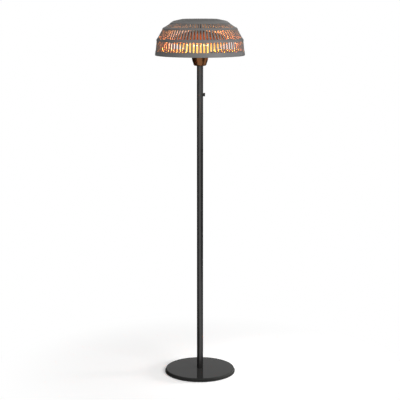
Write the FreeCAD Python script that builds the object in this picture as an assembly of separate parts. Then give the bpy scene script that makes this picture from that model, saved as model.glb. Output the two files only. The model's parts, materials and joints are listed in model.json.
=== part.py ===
import FreeCAD, Part
import math
import os

# Electric patio heater on a round base. Millimetres, +Z up, front towards -Y.
# The origin lies on the floor, on the axis of the pole.

# Whole heater
overall_height = 2000.0

# Fits
seat_clearance = 0.05
running_clearance = 0.05
lift_clearance = 0.3
cut_overrun = 2.0

# Base plate and its rubber feet
base_plate_radius = 200.0
base_plate_thickness = 7.0
foot_count = 6
foot_radius = 14.0
foot_thickness = 4.0
foot_recess_depth = 2.0
foot_edge_margin = 24.0

# Pressed base cover and the ballast under it
base_ledge = 5.0
base_cover_height = 12.0
base_cover_sheet = 1.5
base_cover_edge_radius = 4.0
ballast_side_clearance = 0.5
ballast_top_clearance = 0.3
ballast_edge_chamfer = 3.0

# Screws driven up from under the base plate
base_screw_head_radius = 6.0
base_screw_head_height = 3.0
base_screw_shank_radius = 3.0
base_screw_engagement = 7.0
base_screw_count = 4
ballast_screw_circle_radius = 120.0
flange_screw_circle_radius = 29.0

# Cord gland in the rear wall of the base cover
gland_bore_radius = 3.4
gland_wall = 0.8
gland_lip = 0.5
gland_flange_thickness = 1.5
gland_inner_length = 5.0
cord_channel_width = 14.0

# Pole tube, its foot flange and its couplers
pole_radius = 17.5
pole_wall = 1.5
pole_section_names = ("pole_lower", "pole_middle", "pole_upper")
pole_flange_radius = 40.0
pole_stub_length = 55.0
pole_stub_wall = 5.0
coupler_length = 70.0
coupler_wall = 4.0
adapter_length = 40.0

# Rotary switch on the right-hand side of the pole
switch_drop = 158.0
switch_body_width = 19.0
switch_body_height = 26.0
switch_body_depth = 20.0
switch_bush_radius = 5.0
switch_spindle_radius = 3.0
switch_spindle_depth = 8.0
switch_saddle_radius = 9.0
switch_saddle_rise = 2.0
switch_nut_flats = 13.0
switch_nut_thickness = 2.2
switch_knob_radius = 9.8
switch_knob_length = 8.0
switch_knob_face = 1.6
switch_knob_wall = 1.4
switch_knob_edge = 1.0
switch_flute_count = 24
switch_flute_radius = 0.7
switch_pointer_width = 1.4
switch_pointer_height = 0.6

# Neck cup on top of the pole
neck_cup_height = 70.0
neck_cup_base_radius = 26.0
neck_cup_top_radius = 46.0
neck_cup_sheet = 1.5
neck_cup_shoulder_radius_share = 0.51
neck_cup_shoulder_height_share = 0.165
neck_cup_waist_radius_share = 0.83
neck_cup_waist_height_share = 0.44

# Threaded stem tube that holds the head together
stem_radius = 6.0
stem_bore_radius = 4.0
stem_depth = 35.0
stem_post_depth = 36.0
stem_nut_flats = 19.0
stem_nut_thickness = 6.0

# Terminal block and tilt switch inside the neck cup
terminal_block_depth = 9.0
terminal_block_width = 20.0
terminal_block_height = 16.0
terminal_hole_radius = 1.6
terminal_hole_count = 3
tilt_switch_depth = 9.0
tilt_switch_width = 16.0
tilt_switch_height = 22.0
neck_device_offset = 12.5

# Glass bowl, its washer, gasket and clamping ring
bowl_height = 53.0
bowl_glass = 4.0
bowl_flange_radius = 150.0
bowl_flange_width = 6.0
bowl_mouth_radius = bowl_flange_radius - bowl_flange_width
bowl_foot_margin = 2.0
bowl_bore_clearance = 2.0
bowl_bulge_radius_share = 0.52
bowl_bulge_height_share = 0.47
bowl_washer_radius = 20.0
bowl_washer_thickness = 2.0
gasket_thickness = 1.5
gasket_width = 6.0
bowl_ring_sheet = 1.5
bowl_ring_height = 19.0
bowl_ring_lip_clearance = 0.6
ring_screw_count = 6
ring_screw_head_radius = 3.0
ring_screw_head_height = 1.8
ring_screw_shank_radius = 1.5
ring_screw_length = 7.0
ring_screw_rise = 6.0

# Dark hood and the gold reflector under it
hood_overhang = 2.0
hood_radius = bowl_flange_radius + hood_overhang
hood_rise = 60.0
hood_knuckle_radius = 40.0
hood_pad_radius = 34.0
hood_sheet = 1.2
reflector_sheet = 1.0
reflector_flange_width = 15.0
reflector_inset = 53.0
reflector_mouth_radius = hood_radius - reflector_flange_width
reflector_crown_radius = reflector_mouth_radius - reflector_inset
reflector_rise = 40.0
spacer_wall = 4.0

# Three straight lamps round the stem
lamp_names = ("front", "right", "left")
lamp_turn_share = -0.25
lamp_height = 43.0
lamp_circle_radius = 62.0
lamp_tube_radius = 5.5
lamp_tube_wall = 1.0
lamp_tube_length = 108.0
lamp_filament_radius = 1.2
lamp_holder_length = 16.0
lamp_holder_width = 15.0
lamp_holder_height = 18.0
lamp_holder_edge = 2.0
lamp_socket_depth = 6.0
lamp_bracket_sheet = 1.5
lamp_bracket_width = 14.0
lamp_bracket_drop = 36.0
carrier_hub_radius = 22.0
carrier_sheet = 2.0
lamp_screw_head_radius = 3.2
lamp_screw_head_height = 2.0
lamp_screw_shank_radius = 1.6
lamp_screw_bite = 6.0
cutout_radius = 8.0
cutout_height = 7.0
cutout_rim_width = 1.5
cutout_rim_height = 2.0
cutout_offset = 36.0

# Post that carries the shade on the hood
post_height = 60.6
post_foot_radius = 30.0
post_waist_radius = 12.0
post_head_radius = 38.0
post_flange_thickness = 4.0
post_taper_height = 13.0

# Slatted shade: rise and inset of each slope from the rim up to the flat top
shade_rim_radius = 246.5
shade_lower_rise = 86.0
shade_lower_inset = 8.8
shade_middle_rise = 62.5
shade_middle_inset = 35.1
shade_upper_rise = 38.0
shade_upper_inset = 57.1
shade_cap_rise = 10.5
shade_cap_inset = 48.5
shade_sheet = 1.5
ring_half_width = 8.5
rim_width = 25.0
rim_bead_radius = 3.5
cap_skirt = 22.0
cap_recess_radius = 44.0
cap_recess_depth = 4.0
slat_count = 80
slat_width = 9.0
slat_thickness = 6.0
slat_end_gap = 2.5
slat_phase_share = 0.7
cap_screw_count = 4
cap_screw_circle_radius = 26.0
cap_screw_head_radius = 5.0
cap_screw_head_height = 2.8
cap_screw_shank_radius = 2.0
cap_screw_bite = 2.5

# Directions and turns
full_turn = 360.0
origin = FreeCAD.Vector(0, 0, 0)
along_x = FreeCAD.Vector(1, 0, 0)
along_y = FreeCAD.Vector(0, 1, 0)
upwards = FreeCAD.Vector(0, 0, 1)
downwards = FreeCAD.Vector(0, 0, -1)

# Circles and levels of the base
base_cover_radius = base_plate_radius - base_ledge
foot_circle_radius = base_plate_radius - foot_edge_margin
plate_bottom = foot_thickness - foot_recess_depth
plate_top = plate_bottom + base_plate_thickness
base_top = plate_top + base_cover_height
cover_ceiling = base_top - base_cover_sheet

# Crown sphere of the hood, tangent to its knuckle
hood_crown_step = hood_rise - hood_knuckle_radius
hood_knuckle_offset = hood_radius - hood_knuckle_radius
hood_crown_sink = (hood_knuckle_offset**2 - hood_crown_step**2) / (2 * hood_crown_step)
hood_crown_radius = hood_crown_sink + hood_rise
hood_pad_rise = math.sqrt(hood_crown_radius**2 - hood_pad_radius**2) - hood_crown_sink

# Levels of the pole and the head, with the pole taking what the head leaves
bowl_stack = bowl_height + bowl_glass + gasket_thickness + reflector_sheet
head_height = neck_cup_height + bowl_stack + hood_pad_rise + post_height + shade_sheet + cap_recess_depth
pole_length = overall_height - head_height - base_top
pole_section_length = pole_length / len(pole_section_names)
pole_top = base_top + pole_length
pole_bore_radius = pole_radius - pole_wall
pole_fit_radius = pole_bore_radius - seat_clearance
cup_floor = pole_top + neck_cup_sheet
bowl_bottom = pole_top + neck_cup_height
bowl_floor = bowl_bottom + bowl_glass
bowl_flange_bottom = bowl_bottom + bowl_height
bowl_flange_top = bowl_flange_bottom + bowl_glass
gasket_top = bowl_flange_top + gasket_thickness
hood_edge = gasket_top + reflector_sheet
hood_pad_top = hood_edge + hood_pad_rise
lamp_level = bowl_bottom + lamp_height
carrier_bottom = lamp_level + lamp_bracket_drop
carrier_top = carrier_bottom + carrier_sheet
reflector_pad_top = hood_edge + reflector_rise
post_top = hood_pad_top + post_height
shade_top = overall_height
rim_bottom = shade_top - shade_lower_rise - shade_middle_rise - shade_upper_rise - shade_cap_rise
lamp_angles = {
    name: full_turn * (lamp_turn_share + index / len(lamp_names)) for index, name in enumerate(lamp_names)
}
stem_hole_radius = stem_radius + seat_clearance
stem_bottom = pole_top - stem_depth
stem_top = hood_pad_top + stem_post_depth
switch_level = pole_top - switch_drop


def profile_vector(point):
    """Point of a meridian outline, given as radius and height."""
    return FreeCAD.Vector(point[0], 0, point[1])


def line(start, end):
    """Straight edge of a meridian outline."""
    return Part.makeLine(profile_vector(start), profile_vector(end))


def arc(start, middle, end):
    """Round edge of a meridian outline through three points."""
    return Part.Arc(profile_vector(start), profile_vector(middle), profile_vector(end)).toShape()


def spun(edges):
    """Solid swept by a closed meridian outline about the pole's axis."""
    return Part.Face(Part.Wire(edges)).revolve(origin, upwards, full_turn)


def turned(points):
    """Solid swept by a closed outline of straight edges."""
    edges = [line(a, b) for a, b in zip(points, points[1:] + points[:1])]
    return spun(edges)


def disc(radius, bottom, top):
    """Round plate on the axis."""
    return Part.makeCylinder(radius, top - bottom, FreeCAD.Vector(0, 0, bottom))


def tube(outer_radius, inner_radius, bottom, top):
    """Round sleeve on the axis."""
    bore = disc(inner_radius, bottom - cut_overrun, top + cut_overrun)
    return disc(outer_radius, bottom, top).cut(bore)


def polar(radius, angle, height):
    """Point at a radius and an angle in degrees about the axis."""
    turn = math.radians(angle)
    return FreeCAD.Vector(radius * math.cos(turn), radius * math.sin(turn), height)


def ring_of(shape, count, start=0.0):
    """Copies of a shape set evenly about the axis."""
    copies = []
    for index in range(count):
        copy = shape.copy()
        copy.rotate(origin, upwards, start + full_turn * index / count)
        copies.append(copy)
    return copies


def centred_box(size, centre):
    """Box with its middle at a point."""
    corner = centre - FreeCAD.Vector(size[0] / 2, size[1] / 2, size[2] / 2)
    return Part.makeBox(size[0], size[1], size[2], corner)


def hex_nut(flats, thickness, bottom, bore_radius):
    """Six-sided nut on the axis."""
    corner_radius = flats / math.sqrt(3)
    corners = [polar(corner_radius, full_turn * index / 6, bottom) for index in range(6)]
    face = Part.Face(Part.makePolygon(corners + corners[:1]))
    blank = face.extrude(upwards * thickness)
    return blank.cut(disc(bore_radius, bottom - cut_overrun, bottom + thickness + cut_overrun))


def screw(seat, outwards, head_radius, head_height, shank_radius, shank_length):
    """Cylinder-head screw with its head's underside at the seat."""
    head = Part.makeCylinder(head_radius, head_height, seat, outwards)
    shank = Part.makeCylinder(shank_radius, shank_length, seat, outwards * -1)
    return head.fuse(shank).removeSplitter()


def hole(start, direction, radius, length):
    """Round cutter that runs past both ends."""
    base = start - direction * cut_overrun
    return Part.makeCylinder(radius, length + 2 * cut_overrun, base, direction)


def run_of(start, end):
    """Length, upward unit vector and inward unit normal of a straight run of the meridian."""
    across = end[0] - start[0]
    rise = end[1] - start[1]
    length = math.hypot(across, rise)
    along = (across / length, rise / length)
    return length, along, (-along[1], along[0])


def shifted(point, *moves):
    """Point moved by pairs of a direction and a distance."""
    across = point[0] + sum(direction[0] * distance for direction, distance in moves)
    height = point[1] + sum(direction[1] * distance for direction, distance in moves)
    return (across, height)


def inner_line(points, depth):
    """Line of corners moved inwards by a depth, mitred where it bends."""
    runs = [run_of(a, b) for a, b in zip(points, points[1:])]
    moved = [shifted(points[0], (runs[0][2], depth))]
    for index in range(1, len(points) - 1):
        before, after = runs[index - 1][2], runs[index][2]
        mitre = depth / (1 + before[0] * after[0] + before[1] * after[1])
        moved.append(shifted(points[index], (before, mitre), (after, mitre)))
    moved.append(shifted(points[-1], (runs[-1][2], depth)))
    return moved


def bent_sheet(points, sheet):
    """Ring of sheet whose outer face follows a line of corners from the outside to the axis."""
    return turned(points + inner_line(points, sheet)[::-1])


# Base


def base_screw_places():
    """Angles and circles of the screws under the base plate."""
    step = full_turn / base_screw_count
    places = []
    for index in range(base_screw_count):
        angle = step * (index + 0.5)
        places.append(("ballast", polar(ballast_screw_circle_radius, angle, plate_bottom)))
        places.append(("flange", polar(flange_screw_circle_radius, angle, plate_bottom)))
    return places


def base_screw(place):
    """Screw whose head is sunk into the underside of the base plate."""
    seat = place + upwards * base_screw_head_height
    length = base_plate_thickness - base_screw_head_height + base_screw_engagement
    return screw(
        seat, downwards, base_screw_head_radius, base_screw_head_height, base_screw_shank_radius, length
    )


def base_screw_hole(place):
    """Counterbored hole for a base screw, up through what it holds."""
    head = Part.makeCylinder(
        base_screw_head_radius + seat_clearance,
        base_screw_head_height + cut_overrun,
        place - upwards * cut_overrun,
    )
    depth = base_plate_thickness + base_screw_engagement + seat_clearance
    shank = Part.makeCylinder(base_screw_shank_radius + seat_clearance, depth, place)
    return head.fuse(shank)


def make_base_plate():
    """Heavy steel disc, recessed underneath for the feet and the screw heads."""
    plate = disc(base_plate_radius, plate_bottom, plate_top)
    recess = Part.makeCylinder(
        foot_radius + seat_clearance,
        foot_recess_depth + cut_overrun,
        FreeCAD.Vector(foot_circle_radius, 0, plate_bottom - cut_overrun),
    )
    cutters = ring_of(recess, foot_count)
    cutters += [base_screw_hole(place) for _, place in base_screw_places()]
    return plate.cut(cutters)


def make_rubber_feet():
    """Rubber pads let into the underside of the plate."""
    foot = Part.makeCylinder(foot_radius, foot_thickness, FreeCAD.Vector(foot_circle_radius, 0, 0))
    return ring_of(foot, foot_count)


def make_base_ballast():
    """Cast ring between the plate and the cover, with a way for the cord to the rear."""
    outer = base_cover_radius - base_cover_sheet - ballast_side_clearance
    inner = pole_flange_radius + ballast_side_clearance
    top = cover_ceiling - ballast_top_clearance
    ballast = turned(
        [
            (inner, plate_top),
            (outer, plate_top),
            (outer, top - ballast_edge_chamfer),
            (outer - ballast_edge_chamfer, top),
            (inner, top),
        ]
    )
    channel = Part.makeBox(
        cord_channel_width,
        base_cover_radius,
        base_cover_height,
        FreeCAD.Vector(-cord_channel_width / 2, 0, plate_top),
    )
    holes = [base_screw_hole(place) for kind, place in base_screw_places() if kind == "ballast"]
    return ballast.cut([channel] + holes)


def gland_level():
    """Height of the gland's middle in the wall of the cover."""
    return (plate_top + cover_ceiling) / 2


def gland_centre(distance):
    """Point on the gland's axis at a distance behind the pole's axis."""
    return FreeCAD.Vector(0, distance, gland_level())


def make_base_cover():
    """Pressed cap with a rounded edge, open underneath, bored for the pole stub and the gland."""
    corner = base_cover_edge_radius
    inner_corner = max(corner - base_cover_sheet, base_cover_sheet)
    bend = math.sqrt(0.5)
    inner = base_cover_radius - base_cover_sheet
    edges = [
        line((pole_bore_radius, base_top), (base_cover_radius - corner, base_top)),
        arc(
            (base_cover_radius - corner, base_top),
            (base_cover_radius - corner + corner * bend, base_top - corner + corner * bend),
            (base_cover_radius, base_top - corner),
        ),
        line((base_cover_radius, base_top - corner), (base_cover_radius, plate_top)),
        line((base_cover_radius, plate_top), (inner, plate_top)),
        line((inner, plate_top), (inner, cover_ceiling - inner_corner)),
        arc(
            (inner, cover_ceiling - inner_corner),
            (inner - inner_corner + inner_corner * bend, cover_ceiling - inner_corner + inner_corner * bend),
            (inner - inner_corner, cover_ceiling),
        ),
        line((inner - inner_corner, cover_ceiling), (pole_bore_radius, cover_ceiling)),
        line((pole_bore_radius, cover_ceiling), (pole_bore_radius, base_top)),
    ]
    opening = hole(
        gland_centre(inner), along_y, gland_bore_radius + gland_wall + seat_clearance, base_cover_sheet
    )
    return spun(edges).cut(opening)


def make_cord_gland():
    """Plastic bush with a flange outside the wall and a plain sleeve inside it."""
    inner = base_cover_radius - base_cover_sheet - gland_inner_length
    outer = base_cover_radius + seat_clearance
    length = outer - inner
    sleeve = Part.makeCylinder(gland_bore_radius + gland_wall, length, gland_centre(inner), along_y)
    flange_radius = gland_bore_radius + gland_wall + gland_lip
    flange = Part.makeCylinder(flange_radius, gland_flange_thickness, gland_centre(outer), along_y)
    bore = hole(gland_centre(inner), along_y, gland_bore_radius, length + gland_flange_thickness)
    return sleeve.fuse(flange).cut(bore).removeSplitter()


def make_pole_flange():
    """Foot flange under the cover with a stub that the pole fits over."""
    stub_bore = pole_fit_radius - pole_stub_wall
    flange = turned(
        [
            (stub_bore, plate_top),
            (pole_flange_radius, plate_top),
            (pole_flange_radius, cover_ceiling),
            (pole_fit_radius, cover_ceiling),
            (pole_fit_radius, base_top + pole_stub_length),
            (stub_bore, base_top + pole_stub_length),
        ]
    )
    channel = Part.makeBox(
        cord_channel_width,
        pole_flange_radius + cut_overrun,
        cover_ceiling - plate_top,
        FreeCAD.Vector(-cord_channel_width / 2, 0, plate_top),
    )
    holes = [base_screw_hole(place) for kind, place in base_screw_places() if kind == "flange"]
    return flange.cut([channel] + holes)


# Pole and switch


def make_pole_section(index):
    """One length of the pole tube, bored for the switch in the top one."""
    bottom = base_top + index * pole_section_length
    section = tube(pole_radius, pole_bore_radius, bottom, bottom + pole_section_length)
    if index == len(pole_section_names) - 1:
        start = FreeCAD.Vector(0, 0, switch_level)
        section = section.cut(
            Part.makeCylinder(
                switch_bush_radius + seat_clearance, pole_radius + cut_overrun, start, along_x
            )
        )
    return section


def make_coupler(index):
    """Inner sleeve across the joint above a pole section."""
    middle = base_top + (index + 1) * pole_section_length
    inner = pole_fit_radius - coupler_wall
    return tube(pole_fit_radius, inner, middle - coupler_length / 2, middle + coupler_length / 2)


def make_neck_adapter():
    """Plug in the top of the pole that takes the stem."""
    return tube(pole_fit_radius, stem_hole_radius, pole_top - adapter_length, pole_top)


def switch_point(distance):
    """Point on the switch's axis at a distance from the pole's axis."""
    return FreeCAD.Vector(distance, 0, switch_level)


def switch_faces():
    """Distances of the body's front, the saddle's front and the knob's back from the pole's axis."""
    body_front = math.sqrt(pole_bore_radius**2 - (switch_body_width / 2) ** 2) - lift_clearance
    saddle_front = pole_radius + switch_saddle_rise
    return body_front, saddle_front, saddle_front + lift_clearance


def make_switch_body():
    """Switch housing inside the pole with a threaded bush through its wall."""
    body_front, saddle_front, _ = switch_faces()
    size = (switch_body_depth, switch_body_width, switch_body_height)
    housing = centred_box(size, switch_point(body_front - switch_body_depth / 2))
    bush_length = saddle_front + switch_nut_thickness - body_front
    bush = Part.makeCylinder(switch_bush_radius, bush_length, switch_point(body_front), along_x)
    bore_start = switch_point(body_front - switch_spindle_depth)
    bore_length = switch_spindle_depth + bush_length + cut_overrun
    bore = Part.makeCylinder(switch_spindle_radius + running_clearance, bore_length, bore_start, along_x)
    return housing.fuse(bush).cut(bore).removeSplitter()


def make_switch_saddle():
    """Washer with a hollow back that beds on the round pole."""
    _, saddle_front, _ = switch_faces()
    washer = Part.makeCylinder(switch_saddle_radius, saddle_front, switch_point(0), along_x)
    pole = disc(pole_radius + seat_clearance, switch_level - pole_radius, switch_level + pole_radius)
    bore = hole(switch_point(0), along_x, switch_bush_radius + seat_clearance, saddle_front)
    return washer.cut([pole, bore])


def make_switch_nut():
    """Six-sided nut on the bush, clamping the saddle to the pole."""
    _, saddle_front, _ = switch_faces()
    nut = hex_nut(switch_nut_flats, switch_nut_thickness, 0, switch_bush_radius + seat_clearance)
    nut.rotate(origin, along_y, full_turn / 4)
    nut.translate(switch_point(saddle_front))
    return nut


def knob_recess_end():
    """Distance of the bottom of the knob's hollow back from the pole's axis."""
    _, saddle_front, _ = switch_faces()
    return saddle_front + switch_nut_thickness + lift_clearance


def make_switch_spindle():
    """Shaft from the switch body to the knob."""
    body_front, _, knob_back = switch_faces()
    start = body_front - switch_spindle_depth + lift_clearance
    end = knob_back + switch_knob_length - switch_knob_face
    return Part.makeCylinder(switch_spindle_radius, end - start, switch_point(start), along_x)


def make_switch_knob():
    """Fluted knob, hollow behind for the nut, with a raised pointer on its face."""
    _, _, knob_back = switch_faces()
    knob_front = knob_back + switch_knob_length
    blank = Part.makeCylinder(switch_knob_radius, switch_knob_length, switch_point(knob_back), along_x)
    front_edges = [edge for edge in blank.Edges if abs(edge.CenterOfMass.x - knob_front) < seat_clearance]
    blank = blank.makeChamfer(switch_knob_edge, front_edges)
    recess = Part.makeCylinder(
        switch_knob_radius - switch_knob_wall,
        knob_recess_end() - knob_back + cut_overrun,
        switch_point(knob_back - cut_overrun),
        along_x,
    )
    seat = Part.makeCylinder(
        switch_spindle_radius + seat_clearance,
        switch_knob_length - switch_knob_face + cut_overrun,
        switch_point(knob_back - cut_overrun),
        along_x,
    )
    flutes = []
    for index in range(switch_flute_count):
        turn = 2 * math.pi * (index + 0.5) / switch_flute_count
        offset = FreeCAD.Vector(0, math.cos(turn), math.sin(turn)) * switch_knob_radius
        start = switch_point(knob_back) + offset - along_x * cut_overrun
        flutes.append(
            Part.makeCylinder(switch_flute_radius, switch_knob_length + 2 * cut_overrun, start, along_x)
        )
    pointer_reach = switch_knob_radius - 2 * switch_knob_edge
    pointer = Part.makeBox(
        switch_pointer_height,
        switch_pointer_width,
        pointer_reach,
        switch_point(knob_front) - along_y * (switch_pointer_width / 2),
    )
    return blank.cut([recess, seat] + flutes).fuse(pointer).removeSplitter()


# Head


def cup_outline(inset, bottom):
    """Open edge chain of the cup's side from its flat bottom to its brim, moved in by an inset."""
    base = neck_cup_base_radius - inset
    brim = neck_cup_top_radius - inset
    height = pole_top + neck_cup_height - bottom
    shoulder_radius = base + (brim - base) * neck_cup_shoulder_radius_share
    shoulder_height = bottom + height * neck_cup_shoulder_height_share
    shoulder_swell = (shoulder_height - bottom) * (1 - math.sqrt(0.5))
    waist_radius = base + (brim - base) * neck_cup_waist_radius_share
    waist_height = bottom + height * neck_cup_waist_height_share
    bend = (base + (shoulder_radius - base) * math.sqrt(0.5), bottom + shoulder_swell)
    shoulder = (shoulder_radius, shoulder_height)
    return [
        arc((base, bottom), bend, shoulder),
        arc(shoulder, (waist_radius, waist_height), (brim, pole_top + neck_cup_height)),
    ]


def make_neck_cup():
    """Spun copper-coloured cup that stands on the pole and bears the bowl."""
    outer = cup_outline(0, pole_top)
    inner = cup_outline(neck_cup_sheet, cup_floor)
    brim = pole_top + neck_cup_height
    edges = [line((stem_hole_radius, pole_top), (neck_cup_base_radius, pole_top))]
    edges += outer
    edges.append(line((neck_cup_top_radius, brim), (neck_cup_top_radius - neck_cup_sheet, brim)))
    edges += inner[::-1]
    edges.append(line((neck_cup_base_radius - neck_cup_sheet, cup_floor), (stem_hole_radius, cup_floor)))
    edges.append(line((stem_hole_radius, cup_floor), (stem_hole_radius, pole_top)))
    return spun(Part.sortEdges(edges)[0])


def make_stem_tube():
    """Hollow stem from the pole up into the shade post."""
    return tube(stem_radius, stem_bore_radius, stem_bottom, stem_top)


def make_stem_nuts():
    """Nuts on the stem: in the cup, on the bowl's washer and under the lamp carrier."""
    washer_top = bowl_floor + bowl_washer_thickness
    bottoms = (cup_floor, washer_top, carrier_bottom - stem_nut_thickness)
    return [hex_nut(stem_nut_flats, stem_nut_thickness, bottom, stem_hole_radius) for bottom in bottoms]


def make_terminal_block():
    """Ceramic block with wire holes, on the floor of the cup."""
    corner = FreeCAD.Vector(neck_device_offset, -terminal_block_width / 2, cup_floor)
    block = Part.makeBox(terminal_block_depth, terminal_block_width, terminal_block_height, corner)
    holes = []
    for index in range(terminal_hole_count):
        share = (index + 0.5) / terminal_hole_count
        start = corner + FreeCAD.Vector(0, terminal_block_width * share, terminal_block_height / 2)
        holes.append(hole(start, along_x, terminal_hole_radius, terminal_block_depth))
    return block.cut(holes)


def make_tilt_switch():
    """Sealed tip-over switch, on the floor of the cup."""
    corner = FreeCAD.Vector(-neck_device_offset - tilt_switch_depth, -tilt_switch_width / 2, cup_floor)
    return Part.makeBox(tilt_switch_depth, tilt_switch_width, tilt_switch_height, corner)


def bowl_side(inset, bottom, top):
    """Curved edge of the bowl's wall from its flat foot to its mouth."""
    foot = neck_cup_top_radius + bowl_foot_margin - inset
    mouth = bowl_mouth_radius - inset
    bulge = (
        foot + (mouth - foot) * bowl_bulge_radius_share,
        bottom + (top - bottom) * bowl_bulge_height_share,
    )
    return arc((foot, bottom), bulge, (mouth, top)), (foot, bottom), (mouth, top)


def make_glass_bowl():
    """Shallow glass dish with a flat foot and a flat flange."""
    bore = stem_radius + bowl_bore_clearance
    outer, outer_foot, outer_mouth = bowl_side(0, bowl_bottom, bowl_flange_bottom)
    inner, inner_foot, inner_mouth = bowl_side(bowl_glass, bowl_floor, bowl_flange_top)
    edges = [
        line((bore, bowl_bottom), outer_foot),
        outer,
        line(outer_mouth, (bowl_flange_radius, bowl_flange_bottom)),
        line((bowl_flange_radius, bowl_flange_bottom), (bowl_flange_radius, bowl_flange_top)),
        line((bowl_flange_radius, bowl_flange_top), inner_mouth),
        inner,
        line(inner_foot, (bore, bowl_floor)),
        line((bore, bowl_floor), (bore, bowl_bottom)),
    ]
    return spun(Part.sortEdges(edges)[0])


def make_bowl_washer():
    """Washer that spreads the nut's load on the glass."""
    return tube(bowl_washer_radius, stem_hole_radius, bowl_floor, bowl_floor + bowl_washer_thickness)


def make_bowl_gasket():
    """Silicone ring on the bowl's flange."""
    return tube(bowl_flange_radius, bowl_flange_radius - gasket_width, bowl_flange_top, gasket_top)


def ring_screw_level():
    """Height of the screws through the bowl ring into the hood."""
    return hood_edge + ring_screw_rise


def ring_screw_hole(outer_radius):
    """Cutter for one screw hole on the +X side."""
    reach = outer_radius - hood_radius + ring_screw_length
    start = FreeCAD.Vector(outer_radius - reach, 0, ring_screw_level())
    return hole(start, along_x, ring_screw_shank_radius + seat_clearance, reach)


def make_bowl_ring():
    """Angle ring that holds the bowl's flange up against the hood."""
    inner = hood_radius + seat_clearance
    outer = inner + bowl_ring_sheet
    bottom = bowl_flange_bottom - bowl_ring_sheet
    lip = bowl_mouth_radius + bowl_ring_lip_clearance
    ring = turned(
        [
            (lip, bottom),
            (outer, bottom),
            (outer, bottom + bowl_ring_height),
            (inner, bottom + bowl_ring_height),
            (inner, bowl_flange_bottom),
            (lip, bowl_flange_bottom),
        ]
    )
    return ring.cut(ring_of(ring_screw_hole(outer), ring_screw_count))


def make_bowl_ring_screws():
    """Screws through the bowl ring into the hood's edge."""
    outer = hood_radius + seat_clearance + bowl_ring_sheet
    seat = FreeCAD.Vector(outer + seat_clearance, 0, ring_screw_level())
    one = screw(
        seat,
        along_x,
        ring_screw_head_radius,
        ring_screw_head_height,
        ring_screw_shank_radius,
        ring_screw_length,
    )
    return ring_of(one, ring_screw_count)


def make_hood():
    """Dished hood: straight edge, round knuckle, shallow crown and a flat pad for the post."""
    crown_centre = hood_edge - hood_crown_sink
    lean = math.atan2(hood_crown_sink, hood_knuckle_offset)
    half_lean = lean / 2

    def knuckle_point(angle, radius):
        return (hood_knuckle_offset + radius * math.cos(angle), hood_edge + radius * math.sin(angle))

    def crown_point(radius_from_axis, sphere):
        return (radius_from_axis, crown_centre + math.sqrt(sphere**2 - radius_from_axis**2))

    def wall(thickness, pad_radius):
        knuckle = hood_knuckle_radius - thickness
        sphere = hood_crown_radius - thickness
        start = knuckle_point(0, knuckle)
        join = knuckle_point(lean, knuckle)
        pad = crown_point(pad_radius, sphere)
        middle = crown_point((join[0] + pad_radius) / 2, sphere)
        return [arc(start, knuckle_point(half_lean, knuckle), join), arc(join, middle, pad)], start, pad

    outer, outer_start, outer_pad = wall(0, hood_pad_radius)
    inner_sphere = hood_crown_radius - hood_sheet
    inner_pad_sink = hood_pad_top - hood_sheet - crown_centre
    inner, inner_start, inner_pad = wall(hood_sheet, math.sqrt(inner_sphere**2 - inner_pad_sink**2))
    edges = outer + inner
    edges.append(line(outer_start, inner_start))
    edges.append(line(outer_pad, (stem_hole_radius, hood_pad_top)))
    edges.append(line((stem_hole_radius, hood_pad_top), (stem_hole_radius, hood_pad_top - hood_sheet)))
    edges.append(line((stem_hole_radius, hood_pad_top - hood_sheet), inner_pad))
    return spun(Part.sortEdges(edges)[0]).cut(ring_of(ring_screw_hole(hood_radius), ring_screw_count))


def make_reflector():
    """Conical reflector with a flat crown and a flange trapped under the hood's edge."""
    points = [
        (hood_radius, hood_edge),
        (reflector_mouth_radius, hood_edge),
        (reflector_crown_radius, reflector_pad_top),
        (stem_hole_radius, reflector_pad_top),
    ]
    return bent_sheet(points, reflector_sheet)


def make_reflector_spacer():
    """Sleeve on the stem between the lamp carrier and the reflector."""
    bottom = carrier_top
    return tube(stem_radius + spacer_wall, stem_hole_radius, bottom, reflector_pad_top - reflector_sheet)


def make_hood_spacer():
    """Sleeve on the stem between the reflector and the hood."""
    return tube(stem_radius + spacer_wall, stem_hole_radius, reflector_pad_top, hood_pad_top - hood_sheet)


# Lamps, laid out on the front side and turned to their places


def lamp_centre():
    """Middle of a lamp before it is turned, on the +X side of the stem."""
    return FreeCAD.Vector(lamp_circle_radius, 0, lamp_level)


def lamp_end(side):
    """Distance along Y of a lamp tube's end."""
    return side * lamp_tube_length / 2


def holder_back(side):
    """Distance along Y of a holder's outer face."""
    return side * (lamp_tube_length / 2 - lamp_socket_depth + lamp_holder_length)


def at_lamp(shape, angle):
    """Shape turned from the +X side to a lamp's place."""
    copy = shape.copy()
    copy.rotate(origin, upwards, angle)
    return copy


def make_lamp_tube(angle):
    """Quartz tube of one lamp."""
    start = lamp_centre() + along_y * lamp_end(-1)
    body = Part.makeCylinder(lamp_tube_radius, lamp_tube_length, start, along_y)
    bore = hole(start, along_y, lamp_tube_radius - lamp_tube_wall, lamp_tube_length)
    return at_lamp(body.cut(bore), angle)


def make_lamp_filament(angle):
    """Coiled filament of one lamp, as the rod that its coil fills."""
    start = lamp_centre() + along_y * lamp_end(-1)
    return at_lamp(Part.makeCylinder(lamp_filament_radius, lamp_tube_length, start, along_y), angle)


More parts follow.
